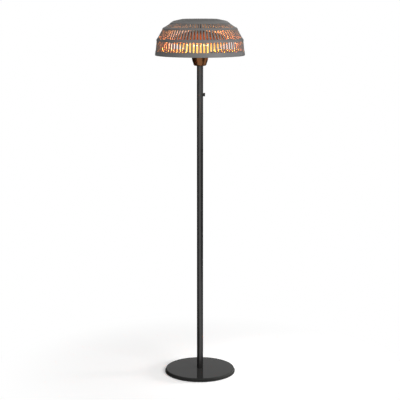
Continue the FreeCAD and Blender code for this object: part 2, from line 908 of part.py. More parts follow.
def make_lamp_holders():
    """Ceramic sockets at both ends of each lamp."""
    holders = []
    for angle in lamp_angles.values():
        for side in (-1, 1):
            back = holder_back(side)
            centre = lamp_centre() + along_y * (back - side * lamp_holder_length / 2)
            block = centred_box((lamp_holder_width, lamp_holder_length, lamp_holder_height), centre)
            upright = [edge for edge in block.Edges if edge.tangentAt(edge.FirstParameter).y ** 2 > 0.5]
            block = block.makeChamfer(lamp_holder_edge, upright)
            socket_bottom = lamp_centre() + along_y * lamp_end(side)
            socket = Part.makeCylinder(
                lamp_tube_radius + seat_clearance,
                lamp_socket_depth + cut_overrun,
                socket_bottom,
                along_y * -side,
            )
            screw_hole = Part.makeCylinder(
                lamp_screw_shank_radius + seat_clearance,
                lamp_screw_bite + seat_clearance,
                lamp_centre() + along_y * back,
                along_y * -side,
            )
            holders.append(at_lamp(block.cut([socket, screw_hole]), angle))
    return holders


def carrier_screw_place():
    """Point on the top of a carrier arm where a screw holds its bracket."""
    return FreeCAD.Vector(lamp_circle_radius, 0, carrier_top)


def make_lamp_bracket(angle):
    """Strip under a carrier arm with two ears that hold the lamp's sockets."""
    reach = holder_back(1) + lamp_bracket_sheet
    strip = Part.makeBox(
        lamp_bracket_width,
        2 * reach,
        lamp_bracket_sheet,
        FreeCAD.Vector(
            lamp_circle_radius - lamp_bracket_width / 2, -reach, carrier_bottom - lamp_bracket_sheet
        ),
    )
    ear_bottom = lamp_level - lamp_holder_height / 2
    pieces = []
    cutters = []
    for side in (-1, 1):
        ear_centre = FreeCAD.Vector(
            lamp_circle_radius,
            holder_back(side) + side * lamp_bracket_sheet / 2,
            (ear_bottom + carrier_bottom) / 2,
        )
        pieces.append(
            centred_box((lamp_bracket_width, lamp_bracket_sheet, carrier_bottom - ear_bottom), ear_centre)
        )
        start = FreeCAD.Vector(lamp_circle_radius, holder_back(side), lamp_level)
        cutters.append(
            hole(start, along_y * side, lamp_screw_shank_radius + seat_clearance, lamp_bracket_sheet)
        )
    start = carrier_screw_place() - upwards * (carrier_sheet + lamp_bracket_sheet)
    cutters.append(hole(start, upwards, lamp_screw_shank_radius + seat_clearance, lamp_bracket_sheet))
    return at_lamp(strip.fuse(pieces).cut(cutters).removeSplitter(), angle)


def make_lamp_carrier():
    """Three-armed plate on the stem that the lamp brackets hang from."""
    arm_reach = lamp_circle_radius + lamp_bracket_width / 2
    arm = Part.makeBox(
        arm_reach,
        lamp_bracket_width,
        carrier_sheet,
        FreeCAD.Vector(0, -lamp_bracket_width / 2, carrier_bottom),
    )
    start = carrier_screw_place() - upwards * carrier_sheet
    arm = arm.cut(hole(start, upwards, lamp_screw_shank_radius + seat_clearance, carrier_sheet))
    arms = [at_lamp(arm, angle) for angle in lamp_angles.values()]
    hub = disc(carrier_hub_radius, carrier_bottom, carrier_top)
    bore = disc(stem_hole_radius, carrier_bottom - cut_overrun, carrier_top + cut_overrun)
    return hub.fuse(arms).cut(bore).removeSplitter()


def make_lamp_screws():
    """Screws that hold the brackets to the carrier and the holders to the brackets."""
    sizes = (lamp_screw_head_radius, lamp_screw_head_height, lamp_screw_shank_radius)
    screws = []
    for angle in lamp_angles.values():
        grip = carrier_sheet + lamp_bracket_sheet
        screws.append(at_lamp(screw(carrier_screw_place(), upwards, *sizes, grip), angle))
        for side in (-1, 1):
            seat = FreeCAD.Vector(
                lamp_circle_radius, holder_back(side) + side * lamp_bracket_sheet, lamp_level
            )
            grip = lamp_bracket_sheet + lamp_screw_bite
            screws.append(at_lamp(screw(seat, along_y * side, *sizes, grip), angle))
    return screws


def make_thermal_cutout():
    """Disc thermostat on an arm of the carrier."""
    base = FreeCAD.Vector(cutout_offset, 0, carrier_top)
    rim = Part.makeCylinder(cutout_radius, cutout_rim_height, base)
    body = Part.makeCylinder(cutout_radius - cutout_rim_width, cutout_height, base)
    return at_lamp(rim.fuse(body).removeSplitter(), lamp_angles["right"])


# Shade


def shade_corners():
    """Corners of the shade's outer meridian from the rim to the edge of the flat top."""
    slopes = (
        (shade_lower_inset, shade_lower_rise),
        (shade_middle_inset, shade_middle_rise),
        (shade_upper_inset, shade_upper_rise),
        (shade_cap_inset, shade_cap_rise),
    )
    corners = [(shade_rim_radius, rim_bottom)]
    for inset, rise in slopes:
        corners.append((corners[-1][0] - inset, corners[-1][1] + rise))
    return corners


def make_shade_rim():
    """Rim band with a rolled bead along its lower edge."""
    corners = shade_corners()
    _, along, inwards = run_of(corners[0], corners[1])
    bead_start = shifted(corners[0], (along, rim_bead_radius))
    top = shifted(corners[0], (along, rim_width))
    centre = shifted(bead_start, (inwards, rim_bead_radius))
    lift = math.sqrt(rim_bead_radius**2 - (rim_bead_radius - shade_sheet) ** 2)
    bead_end = shifted(bead_start, (inwards, shade_sheet), (along, lift))
    diagonal = rim_bead_radius * math.sqrt(0.5)
    bead_middle = shifted(centre, (along, -diagonal), (inwards, diagonal))
    inner_top = shifted(top, (inwards, shade_sheet))
    edges = [
        line(top, bead_start),
        arc(bead_start, bead_middle, bead_end),
        line(bead_end, inner_top),
        line(inner_top, top),
    ]
    return spun(edges)


def make_shade_ring(corner):
    """Bent ring at a corner of the meridian, half of it on each slope."""
    corners = shade_corners()
    below = run_of(corners[corner - 1], corners[corner])[1]
    above = run_of(corners[corner], corners[corner + 1])[1]
    points = [
        shifted(corners[corner], (below, -ring_half_width)),
        corners[corner],
        shifted(corners[corner], (above, ring_half_width)),
    ]
    return bent_sheet(points, shade_sheet)


def make_shade_cap():
    """Closed cap: skirt, sloping shoulder, flat top and a round recess that the post carries."""
    corners = shade_corners()
    skirt = run_of(corners[2], corners[3])[1]
    floor = shade_top - cap_recess_depth
    points = [
        shifted(corners[3], (skirt, -cap_skirt)),
        corners[3],
        corners[4],
        (cap_recess_radius, shade_top),
        (cap_recess_radius, floor),
        (0, floor),
    ]
    one_hole = hole(
        FreeCAD.Vector(cap_screw_circle_radius, 0, floor - shade_sheet),
        upwards,
        cap_screw_shank_radius + seat_clearance,
        shade_sheet,
    )
    return bent_sheet(points, shade_sheet).cut(ring_of(one_hole, cap_screw_count))


def make_shade_post():
    """Turned post, wide at its foot and its head, screwed on the stem."""
    foot_top = hood_pad_top + post_flange_thickness
    head_bottom = post_top - post_flange_thickness
    post = turned(
        [
            (0, stem_top + lift_clearance),
            (stem_hole_radius, stem_top + lift_clearance),
            (stem_hole_radius, hood_pad_top),
            (post_foot_radius, hood_pad_top),
            (post_foot_radius, foot_top),
            (post_waist_radius, foot_top + post_taper_height),
            (post_waist_radius, head_bottom - post_taper_height),
            (post_head_radius, head_bottom),
            (post_head_radius, post_top),
            (0, post_top),
        ]
    )
    one_hole = Part.makeCylinder(
        cap_screw_shank_radius + seat_clearance,
        cap_screw_bite + seat_clearance,
        FreeCAD.Vector(cap_screw_circle_radius, 0, post_top),
        downwards,
    )
    return post.cut(ring_of(one_hole, cap_screw_count))


def make_cap_screws():
    """Screws through the cap's recess into the head of the post."""
    seat = FreeCAD.Vector(cap_screw_circle_radius, 0, post_top + shade_sheet)
    length = shade_sheet + cap_screw_bite
    one = screw(
        seat, upwards, cap_screw_head_radius, cap_screw_head_height, cap_screw_shank_radius, length
    )
    return ring_of(one, cap_screw_count)


def make_slats(band):
    """Straight slats of one band, lapped inside the rings above and below it."""
    corners = shade_corners()
    length, along, inwards = run_of(corners[band], corners[band + 1])
    start = slat_end_gap
    if band == 0:
        start = 2 * rim_bead_radius + seat_clearance
    top_radius = shifted(corners[band], (along, length))[0]
    bow = top_radius - math.sqrt(top_radius**2 - (slat_width / 2) ** 2)
    depth = shade_sheet + seat_clearance + bow
    lower = shifted(corners[band], (along, start), (inwards, depth))
    upper = shifted(corners[band], (along, length - slat_end_gap), (inwards, depth))
    outline = [
        lower,
        upper,
        shifted(upper, (inwards, slat_thickness)),
        shifted(lower, (inwards, slat_thickness)),
    ]
    points = [profile_vector(point) - along_y * (slat_width / 2) for point in outline]
    slat = Part.Face(Part.makePolygon(points + points[:1])).extrude(along_y * slat_width)
    return ring_of(slat, slat_count, full_turn * (slat_phase_share / slat_count - 0.25))


def build():
    """Every node of the heater by name, as one solid or a list of like solids."""
    nodes = {
        "base_plate": make_base_plate(),
        "rubber_feet": make_rubber_feet(),
        "base_ballast": make_base_ballast(),
        "base_cover": make_base_cover(),
        "cord_gland": make_cord_gland(),
        "pole_flange": make_pole_flange(),
        "pole_coupler_lower": make_coupler(0),
        "pole_coupler_upper": make_coupler(1),
        "neck_adapter": make_neck_adapter(),
        "switch_body": make_switch_body(),
        "switch_saddle": make_switch_saddle(),
        "switch_nut": make_switch_nut(),
        "switch_spindle": make_switch_spindle(),
        "switch_knob": make_switch_knob(),
        "neck_cup": make_neck_cup(),
        "stem_tube": make_stem_tube(),
        "stem_nuts": make_stem_nuts(),
        "terminal_block": make_terminal_block(),
        "tilt_switch": make_tilt_switch(),
        "glass_bowl": make_glass_bowl(),
        "bowl_washer": make_bowl_washer(),
        "bowl_gasket": make_bowl_gasket(),
        "bowl_ring": make_bowl_ring(),
        "bowl_ring_screws": make_bowl_ring_screws(),
        "hood": make_hood(),
        "reflector": make_reflector(),
        "reflector_spacer": make_reflector_spacer(),
        "hood_spacer": make_hood_spacer(),
        "lamp_carrier": make_lamp_carrier(),
        "lamp_holders": make_lamp_holders(),
        "lamp_screws": make_lamp_screws(),
        "thermal_cutout": make_thermal_cutout(),
        "shade_post": make_shade_post(),
        "shade_cap": make_shade_cap(),
        "cap_screws": make_cap_screws(),
        "shade_rim": make_shade_rim(),
        "shade_ring_middle": make_shade_ring(1),
        "shade_ring_upper": make_shade_ring(2),
        "slats_lower": make_slats(0),
        "slats_middle": make_slats(1),
        "slats_upper": make_slats(2),
    }
    for kind in ("ballast", "flange"):
        places = [place for held, place in base_screw_places() if held == kind]
        nodes[kind + "_screws"] = [base_screw(place) for place in places]
    for index, name in enumerate(pole_section_names):
        nodes[name] = make_pole_section(index)
    for side, angle in lamp_angles.items():
        nodes["lamp_tube_" + side] = make_lamp_tube(angle)
        nodes["lamp_filament_" + side] = make_lamp_filament(angle)
        nodes["lamp_bracket_" + side] = make_lamp_bracket(angle)
    return nodes


os.makedirs("parts", exist_ok=True)
for node, made in build().items():
    shape = Part.makeCompound(made) if isinstance(made, list) else made
    shape.exportStep("parts/" + node + ".step")
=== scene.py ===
"""Studio picture of a free-standing electric patio heater, dressed round its fixed frame."""

import functools
import json
import logging
import math
from collections.abc import Callable
from dataclasses import dataclass
from enum import Enum

import bmesh
import bpy
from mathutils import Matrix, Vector


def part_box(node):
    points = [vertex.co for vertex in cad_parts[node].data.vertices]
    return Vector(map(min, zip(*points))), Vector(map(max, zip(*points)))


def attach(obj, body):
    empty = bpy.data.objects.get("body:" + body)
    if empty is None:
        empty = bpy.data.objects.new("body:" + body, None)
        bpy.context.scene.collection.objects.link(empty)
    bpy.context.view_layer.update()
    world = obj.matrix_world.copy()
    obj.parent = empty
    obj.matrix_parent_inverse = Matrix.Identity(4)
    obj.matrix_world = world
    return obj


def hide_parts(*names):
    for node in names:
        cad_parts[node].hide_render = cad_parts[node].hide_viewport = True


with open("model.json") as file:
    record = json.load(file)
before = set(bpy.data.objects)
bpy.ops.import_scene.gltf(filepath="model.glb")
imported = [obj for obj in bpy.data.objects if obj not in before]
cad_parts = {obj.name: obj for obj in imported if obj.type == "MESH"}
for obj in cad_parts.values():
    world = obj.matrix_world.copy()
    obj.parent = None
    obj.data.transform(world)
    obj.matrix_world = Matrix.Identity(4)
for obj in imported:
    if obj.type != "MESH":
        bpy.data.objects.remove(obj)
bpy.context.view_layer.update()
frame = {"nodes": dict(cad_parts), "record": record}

LOG = logging.getLogger("patio_heater")

Colour = tuple[float, float, float]
Triple = tuple[float, float, float]

ORIGIN: Triple = (0.0, 0.0, 0.0)
UP: Triple = (0.0, 0.0, 1.0)
COS_45 = math.sqrt(0.5)
WHITE = (1.0, 1.0, 1.0, 1.0)

WELD_DISTANCE = 1e-6
PLACE_TOLERANCE = 1e-5
SMOOTH_ANGLE = math.radians(32)
CORNER_SEGMENTS = 4
BORE_SIDES = 32

MOTTLE_DETAIL = 4.0
RING_DETAIL = 3.0
DIMPLE_SMOOTHNESS = 0.6


class Body(str, Enum):
    """Rigid bodies of the frame."""

    HEATER = "heater"
    KNOB = "knob"


class Grain(Enum):
    """Surface patterns that a finish can have."""

    PEEL = "fine powder-coat texture"
    TURNED = "faint rings left by a lathe"
    HAMMERED = "small round dimples"
    MOULDED = "fine moulded texture"
    CAST = "rough sand-cast texture"
    RIPPLED = "slow waves of pressed glass"


class Drive(Enum):
    """Recesses in a screw head."""

    HEX = "six-sided socket"
    CROSS = "crossed slots"


class Axis(Enum):
    """Axes that a piece is turned about."""

    X = "X"
    Y = "Y"
    Z = "Z"


class Side(float, Enum):
    """Sides of the heater, as angles about its axis."""

    RIGHT = 0.0
    REAR = math.pi / 2.0
    LEFT = math.pi
    FRONT = -math.pi / 2.0


# Finishes


GRAIN_DETAIL: dict[Grain, float] = {
    Grain.PEEL: 1.0,
    Grain.MOULDED: 2.0,
    Grain.CAST: 8.0,
    Grain.RIPPLED: 0.0,
}


class NodeBench:
    """Adds and joins the nodes of one material."""

    def __init__(self, tree: bpy.types.NodeTree) -> None:
        """Keeps the tree that the nodes go in.

        Args:
            tree: node tree of a material or a world.
        """
        self.tree = tree

    def add(self, kind: str, **values: object) -> bpy.types.Node:
        """Adds a node and sets its inputs and properties by name.

        Args:
            kind: node type's identifier.
            **values: input values, with underscores for spaces, or node properties.

        Returns:
            The new node.
        """
        node = self.tree.nodes.new(kind)
        for name, value in values.items():
            label = name.replace("_", " ")
            if label in node.inputs:
                node.inputs[label].default_value = value
            else:
                setattr(node, name, value)
        return node

    def join(self, source: bpy.types.NodeSocket, target: bpy.types.NodeSocket) -> None:
        """Links an output to an input."""
        self.tree.links.new(source, target)

    def math(self, operation: str, *terms: object) -> bpy.types.NodeSocket:
        """Adds a Math node.

        Args:
            operation: name of the operation.
            *terms: numbers or output sockets, in order.

        Returns:
            The node's output.
        """
        node = self.tree.nodes.new("ShaderNodeMath")
        node.operation = operation
        for index, term in enumerate(terms):
            if isinstance(term, (int, float)):
                node.inputs[index].default_value = term
            else:
                self.join(term, node.inputs[index])
        return node.outputs[0]

    def ranged(self, source: bpy.types.NodeSocket, low: float, high: float) -> bpy.types.NodeSocket:
        """Stretches a value from 0 to 1 over a range.

        Args:
            source: output that gives the value.
            low: result at 0.
            high: result at 1.

        Returns:
            The stretched value.
        """
        node = self.add("ShaderNodeMapRange", To_Min=low, To_Max=high)
        self.join(source, node.inputs["Value"])
        return node.outputs["Result"]


@dataclass(frozen=True)
class Finish:
    """Look of one surface: colour, shine and grain."""

    name: str
    colour: Colour
    roughness: float
    grain: Grain
    grain_size: float
    grain_depth: float
    metallic: float = 0.0
    specular: float = 0.5
    edge_tint: float = 1.0
    mottle_share: float = 0.06
    mottle_size: float = 0.05
    roughness_share: float = 0.15
    alpha: float = 1.0
    glow: Colour = (0.0, 0.0, 0.0)
    glow_strength: float = 0.0

    def grain_height(self, bench: NodeBench, place: bpy.types.NodeSocket) -> bpy.types.NodeSocket:
        """Builds the pattern that raises the surface.

        Args:
            bench: node bench of the material.
            place: object coordinates.

        Returns:
            Output with the height, from 0 to 1.
        """
        scale = 1.0 / self.grain_size
        if self.grain is Grain.HAMMERED:
            dimples = bench.add(
                "ShaderNodeTexVoronoi",
                feature="SMOOTH_F1",
                Scale=scale,
                Smoothness=DIMPLE_SMOOTHNESS,
            )
            bench.join(place, dimples.inputs["Vector"])
            return dimples.outputs["Distance"]
        if self.grain is Grain.TURNED:
            parts = bench.add("ShaderNodeSeparateXYZ")
            bench.join(place, parts.inputs[0])
            square = bench.math(
                "ADD",
                bench.math("POWER", parts.outputs["X"], 2.0),
                bench.math("POWER", parts.outputs["Y"], 2.0),
            )
            line = bench.add("ShaderNodeCombineXYZ")
            bench.join(bench.math("SQRT", square), line.inputs["X"])
            bench.join(parts.outputs["Z"], line.inputs["Y"])
            rings = bench.add("ShaderNodeTexNoise", Scale=scale, Detail=RING_DETAIL)
            bench.join(line.outputs[0], rings.inputs["Vector"])
            return rings.outputs["Fac"]
        noise = bench.add("ShaderNodeTexNoise", Scale=scale, Detail=GRAIN_DETAIL[self.grain])
        bench.join(place, noise.inputs["Vector"])
        return noise.outputs["Fac"]

    def material(self) -> bpy.types.Material:
        """Builds the material, with mottled colour, uneven shine and a raised grain.

        Returns:
            The new material.
        """
        material = bpy.data.materials.new(self.name)
        material.use_nodes = True
        bench = NodeBench(material.node_tree)
        shader = material.node_tree.nodes["Principled BSDF"]
        settings = {
            "Metallic": self.metallic,
            "Specular IOR Level": self.specular,
            "Specular Tint": (self.edge_tint, self.edge_tint, self.edge_tint, 1.0),
            "Alpha": self.alpha,
            "Emission Color": (*self.glow, 1.0),
            "Emission Strength": self.glow_strength,
        }
        for socket, value in settings.items():
            shader.inputs[socket].default_value = value
        place = bench.add("ShaderNodeTexCoord").outputs["Object"]
        cloud = bench.add("ShaderNodeTexNoise", Scale=1.0 / self.mottle_size, Detail=MOTTLE_DETAIL)
        bench.join(place, cloud.inputs["Vector"])
        tones = bench.add("ShaderNodeMix", data_type="RGBA")
        sockets = [socket for socket in tones.inputs if socket.type == "RGBA"]
        for socket, share in zip(sockets, (1.0 - self.mottle_share, 1.0 + self.mottle_share)):
            tone = (min(1.0, share * part) for part in self.colour)
            socket.default_value = (*tone, 1.0)
        mottled = next(socket for socket in tones.outputs if socket.type == "RGBA")
        bench.join(cloud.outputs["Fac"], tones.inputs["Factor"])
        bench.join(mottled, shader.inputs["Base Color"])
        low = self.roughness * (1.0 - self.roughness_share)
        high = min(1.0, self.roughness * (1.0 + self.roughness_share))
        bench.join(bench.ranged(cloud.outputs["Fac"], low, high), shader.inputs["Roughness"])
        bump = bench.add("ShaderNodeBump", Strength=1.0, Distance=self.grain_depth)
        bench.join(self.grain_height(bench, place), bump.inputs["Height"])
        bench.join(bump.outputs["Normal"], shader.inputs["Normal"])
        return material


COPPER: Colour = (0.2, 0.088, 0.036)
AMBER: Colour = (0.9, 0.62, 0.28)

# Each row gives name, colour, roughness, grain with its size and depth, and what else differs.
FINISHES: dict[str, Finish] = {
    finish.name: finish
    for finish in (
        Finish("base_black", (0.026, 0.026, 0.025), 0.08, Grain.PEEL, 0.0012, 1e-6,
               specular=0.038, mottle_share=0.03),
        Finish("ballast_iron", (0.12, 0.12, 0.12), 0.7, Grain.CAST, 0.003, 2e-4, metallic=0.4),
        Finish("foot_rubber", (0.018, 0.018, 0.018), 0.75, Grain.MOULDED, 0.0008, 3e-5),
        Finish("pole_black", (0.074, 0.073, 0.072), 0.3, Grain.PEEL, 0.0012, 2e-6,
               specular=0.04, metallic=0.9, edge_tint=0.2, mottle_share=0.03),
        Finish("plated_steel", (0.58, 0.57, 0.55), 0.32, Grain.MOULDED, 0.0006, 2e-6,
               metallic=1.0, mottle_share=0.1),
        Finish("screw_steel", (0.52, 0.52, 0.52), 0.28, Grain.TURNED, 0.0004, 2e-6, metallic=1.0),
        Finish("switch_plastic", (0.012, 0.012, 0.012), 0.42, Grain.MOULDED, 0.0005, 8e-6,
               specular=0.2),
        Finish("copper", COPPER, 0.26, Grain.TURNED, 0.0006, 3e-6,
               metallic=0.92, specular=0.2, edge_tint=0.6, mottle_share=0.12, mottle_size=0.03),
        Finish("satin_copper", COPPER, 0.5, Grain.TURNED, 0.0006, 3e-6, metallic=0.3, specular=0.2),
        # The bowl ring's finish is a lighter amber copy of the copper: painted light from the
        # lamps' glow on the ring.
        Finish("glow_lit_copper", AMBER, 0.25, Grain.TURNED, 0.0006, 1e-6, metallic=0.5),
        # The bowl's emission is painted glow: it stands in for the lamps' light shining through the
        # amber glass.
        Finish("amber_glass", AMBER, 0.08, Grain.RIPPLED, 0.012, 3e-5,
               alpha=0.5, glow=(1.0, 0.5, 0.08), glow_strength=0.75),
        Finish("silicone", (0.3, 0.05, 0.03), 0.6, Grain.MOULDED, 0.0008, 1e-5),
        Finish("gold_reflector", (0.9, 0.6, 0.24), 0.2, Grain.HAMMERED, 0.007, 4e-4, metallic=1.0),
        Finish("quartz", (1.0, 0.95, 0.85), 0.05, Grain.RIPPLED, 0.006, 1e-5, alpha=0.2),
        Finish("filament", (0.3, 0.2, 0.12), 0.5, Grain.TURNED, 0.0005, 1e-6,
               glow=(1.0, 0.78, 0.42), glow_strength=50.0),
        Finish("ceramic", (0.78, 0.74, 0.67), 0.55, Grain.MOULDED, 0.001, 2e-5),
        Finish("post_dark", (0.05, 0.043, 0.04), 0.4, Grain.TURNED, 0.0006, 4e-6),
        Finish("shade_grey", (0.168, 0.165, 0.16), 0.5, Grain.PEEL, 0.0011, 1.2e-5,
               specular=0.35, mottle_share=0.04),
    )
}


@functools.cache
def material_for(finish: str) -> bpy.types.Material:
    """Gives the material of a finish, made on its first use."""
    return FINISHES[finish].material()


# Modelling steps


@dataclass(frozen=True)
class Corner:
    """Corner of a meridian outline, with the length that its rounding takes off each side."""

    radius: float
    height: float
    rounding: float = 0.0

    def place(self) -> Vector:
        """Gives the corner's place in the plane of the outline."""
        return Vector((self.radius, 0.0, self.height))


def arc_corners(start: Corner, middle: Corner, end: Corner, steps: int) -> list[Corner]:
    """Divides the arc through three corners.

    Args:
        start: first end of the arc.
        middle: any corner on the arc.
        end: other end of the arc.
        steps: number of equal parts.

    Returns:
        Corners along the arc, with both ends.
    """
    ax, ay = middle.radius - start.radius, middle.height - start.height
    bx, by = end.radius - start.radius, end.height - start.height
    twist = 2.0 * (ax * by - ay * bx)
    a_square, b_square = ax * ax + ay * ay, bx * bx + by * by
    centre_x = start.radius + (by * a_square - ay * b_square) / twist
    centre_y = start.height + (ax * b_square - bx * a_square) / twist
    reach = math.hypot(start.radius - centre_x, start.height - centre_y)
    first = math.atan2(start.height - centre_y, start.radius - centre_x)
    last = math.atan2(end.height - centre_y, end.radius - centre_x)
    sweep = (last - first) % math.tau
    if twist < 0.0:
        sweep -= math.tau
    angles = (first + sweep * index / steps for index in range(steps + 1))
    return [Corner(centre_x + reach * math.cos(a), centre_y + reach * math.sin(a)) for a in angles]


def start_clean() -> None:
    """Leaves object mode with nothing selected."""
    active = bpy.context.object
    if active is not None and active.mode != "OBJECT":
        bpy.ops.object.mode_set(mode="OBJECT")
    bpy.ops.object.select_all(action="DESELECT")


def pick(piece: bpy.types.Object) -> None:
    """Makes a piece the active object and the only selected one.

    Args:
        piece: the piece.
    """
    start_clean()
    piece.select_set(True)
    bpy.context.view_layer.objects.active = piece


def edit_all(piece: bpy.types.Object) -> None:
    """Opens a piece in edit mode with all of its mesh selected.

    Args:
        piece: the piece.
    """
    pick(piece)
    bpy.ops.object.mode_set(mode="EDIT")
    bpy.ops.mesh.select_all(action="SELECT")


def select_vertices(piece: bpy.types.Object, wanted: Callable[[Vector], bool]) -> None:
    """Selects the vertices of the piece in edit mode that pass a test.

    Args:
        piece: object in edit mode.
        wanted: function of a place that says whether its vertex is selected.
    """
    bpy.ops.mesh.select_all(action="DESELECT")
    mesh = bmesh.from_edit_mesh(piece.data)
    for vertex in mesh.verts:
        vertex.select_set(wanted(vertex.co))
    mesh.select_flush(True)
    bmesh.update_edit_mesh(piece.data)


def weld_outwards() -> None:
    """Merges doubles of the mesh in edit mode and turns its faces outwards."""
    bpy.ops.mesh.select_all(action="SELECT")
    bpy.ops.mesh.remove_doubles(threshold=WELD_DISTANCE)
    bpy.ops.mesh.normals_make_consistent(inside=False)


def smooth(piece: bpy.types.Object) -> None:
    """Shades the round stretches of a piece smooth and leaves its corners sharp."""
    pick(piece)
    bpy.ops.object.shade_smooth_by_angle(angle=SMOOTH_ANGLE)


def lathe(name: str, outline: list[Corner], steps: int) -> bpy.types.Object:
    """Traces a closed outline, rounds its corners and spins it about the Z axis.

    Args:
        name: name of the piece.
        outline: corners in order, without repeating the first.
        steps: faces round the axis.

    Returns:
        The spun piece, shaded smooth.
    """
    start_clean()
    bpy.ops.mesh.primitive_plane_add()
    piece = bpy.context.object
    piece.name = name
    bpy.ops.object.mode_set(mode="EDIT")
    bpy.ops.mesh.merge(type="CENTER")
    bpy.ops.transform.translate(value=outline[0].place())
    for corner, following in zip(outline, outline[1:] + outline[:1]):
        step = following.place() - corner.place()
        bpy.ops.mesh.extrude_vertices_move(TRANSFORM_OT_translate={"value": step})
    bpy.ops.mesh.select_all(action="SELECT")
    bpy.ops.mesh.remove_doubles(threshold=WELD_DISTANCE)
    for rounding in sorted({corner.rounding for corner in outline if corner.rounding > 0.0}):
        places = [corner.place() for corner in outline if corner.rounding == rounding]
        select_vertices(piece, lambda co: any((co - at).length < PLACE_TOLERANCE for at in places))
        bpy.ops.mesh.bevel(offset=rounding, segments=CORNER_SEGMENTS, affect="VERTICES")
    bpy.ops.mesh.select_all(action="SELECT")
    bpy.ops.mesh.spin(steps=steps, angle=math.tau, center=ORIGIN, axis=UP)
    weld_outwards()
    bpy.ops.object.mode_set(mode="OBJECT")
    smooth(piece)
    return piece


def turn(piece: bpy.types.Object, angle: float, axis: Axis) -> None:
    """Turns a piece's mesh about an axis through the origin, by the right-hand rule.

    Args:
        piece: the piece.
        angle: angle in radians.
        axis: axis of the turn.
    """
    edit_all(piece)
    bpy.ops.transform.rotate(value=-angle, orient_axis=axis.value, center_override=ORIGIN)
    bpy.ops.object.mode_set(mode="OBJECT")


def shift(piece: bpy.types.Object, move: Vector) -> None:
    """Moves a piece's mesh.

    Args:
        piece: the piece.
        move: how far it goes along each axis.
    """
    edit_all(piece)
    bpy.ops.transform.translate(value=move)
    bpy.ops.object.mode_set(mode="OBJECT")


def ring_copies(piece: bpy.types.Object, count: int, first: float = 0.0) -> None:
    """Repeats a piece's mesh evenly round the Z axis.

    Args:
        piece: the piece, in its place on the +X side.
        count: number of copies in all.
        first: angle of the first copy in radians.
    """
    turn(piece, first, Axis.Z)
    edit_all(piece)
    reach = math.tau * (count - 1) / count
    bpy.ops.mesh.spin(steps=count - 1, dupli=True, angle=reach, center=ORIGIN, axis=UP)
    bpy.ops.object.mode_set(mode="OBJECT")


def carve(piece: bpy.types.Object, cutter: bpy.types.Object) -> None:
    """Cuts one piece's shape out of another and removes the cutter.

    Args:
        piece: piece that is cut.
        cutter: closed mesh that is taken out.
    """
    pick(piece)
    cut = piece.modifiers.new("cut", "BOOLEAN")
    cut.operation = "DIFFERENCE"
    cut.solver = "EXACT"
    cut.object = cutter
    bpy.ops.object.modifier_apply(modifier=cut.name)
    bpy.data.objects.remove(cutter)
    smooth(piece)


def bore(
    piece: bpy.types.Object,
    radius: float,
    depth: float,
    place: Vector,
    tilt: Triple = ORIGIN,
    sides: int = BORE_SIDES,
) -> None:
    """Cuts a straight hole into a piece.

    Args:
        piece: piece that is cut.
        radius: radius of the hole.
        depth: length of the hole.
        place: middle of the hole.
        tilt: Euler angles of the hole's axis from upright.
        sides: faces round the hole.
    """
    start_clean()
    bpy.ops.mesh.primitive_cylinder_add(
        vertices=sides, radius=radius, depth=depth, location=place, rotation=tilt
    )
    carve(piece, bpy.context.object)


def bar(name: str, size: Triple, bevel: float) -> bpy.types.Object:
    """Models a straight bar with broken edges, centred on the origin.

    Args:
        name: name of the piece.
        size: lengths along X, Y and Z.
        bevel: width of the broken edges.

    Returns:
        The bar.
    """
    start_clean()
    bpy.ops.mesh.primitive_cube_add(size=1.0)
    piece = bpy.context.object
    piece.name = name
    bpy.ops.object.mode_set(mode="EDIT")
    bpy.ops.transform.resize(value=size)
    bpy.ops.mesh.bevel(offset=bevel, segments=1, affect="EDGES")
    bpy.ops.object.mode_set(mode="OBJECT")
    return piece


def even_shading(piece: bpy.types.Object) -> None:
    """Weighs the shading by face size, so that flat faces look flat up to their rounded edges.

    Args:
        piece: finished mesh.
    """
    pick(piece)
    weighing = piece.modifiers.new("weighing", "WEIGHTED_NORMAL")
    weighing.mode = "FACE_AREA"
    weighing.keep_sharp = True
    bpy.ops.object.modifier_apply(modifier=weighing.name)


def dress(piece: bpy.types.Object, slot: str, body: Body, *nodes: str, finish: str = "") -> None:
    """Gives a piece its finish and puts it in the place of its nodes.

    Args:
        piece: finished mesh.
        slot: material slot of the record.
        body: body that it rides on.
        *nodes: nodes of the frame that it stands for.
        finish: name of a finish that differs from the slot's usual one.
    """
    even_shading(piece)
    piece.data.materials.clear()
    piece.data.materials.append(material_for(finish or slot))
    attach(piece, body.value)
    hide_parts(*nodes)
    LOG.info("%s stands for %s", piece.name, ", ".join(nodes))


@dataclass(frozen=True)
class ScrewKind:
    """Size of a screw and of the recess in its head."""

    head_radius: float
    head_height: float
    shank_radius: float
    length: float
    drive: Drive
    steps: int = 24
    socket_sides: int = 6
    edge_share: float = 0.25
    recess_share: float = 0.5
    depth_share: float = 0.55
    slot_share: float = 0.3

    def model(self, name: str) -> bpy.types.Object:
        """Models the screw, head up, with the head's underside at the origin.

        Args:
            name: name of the piece.

        Returns:
            The screw.
        """
        edge = self.head_height * self.edge_share
        tip = self.shank_radius * self.edge_share
        piece = lathe(
            name,
            [
                Corner(0.0, -self.length),
                Corner(self.shank_radius, -self.length, tip),
                Corner(self.shank_radius, 0.0),
                Corner(self.head_radius, 0.0),
                Corner(self.head_radius, self.head_height, edge),
                Corner(0.0, self.head_height),
            ],
            self.steps,
        )
        depth = self.head_height * self.depth_share
        recess = self.head_radius * self.recess_share
        centre = Vector((0.0, 0.0, self.head_height))
        if self.drive is Drive.HEX:
            bore(piece, recess, 2.0 * depth, centre, sides=self.socket_sides)
        else:
            width = recess * self.slot_share
            for size in ((2.0 * recess, width, 2.0 * depth), (width, 2.0 * recess, 2.0 * depth)):
                cutter = bar("slot", size, width * self.edge_share)
                shift(cutter, centre)
                carve(piece, cutter)
        return piece


# Sub-assemblies


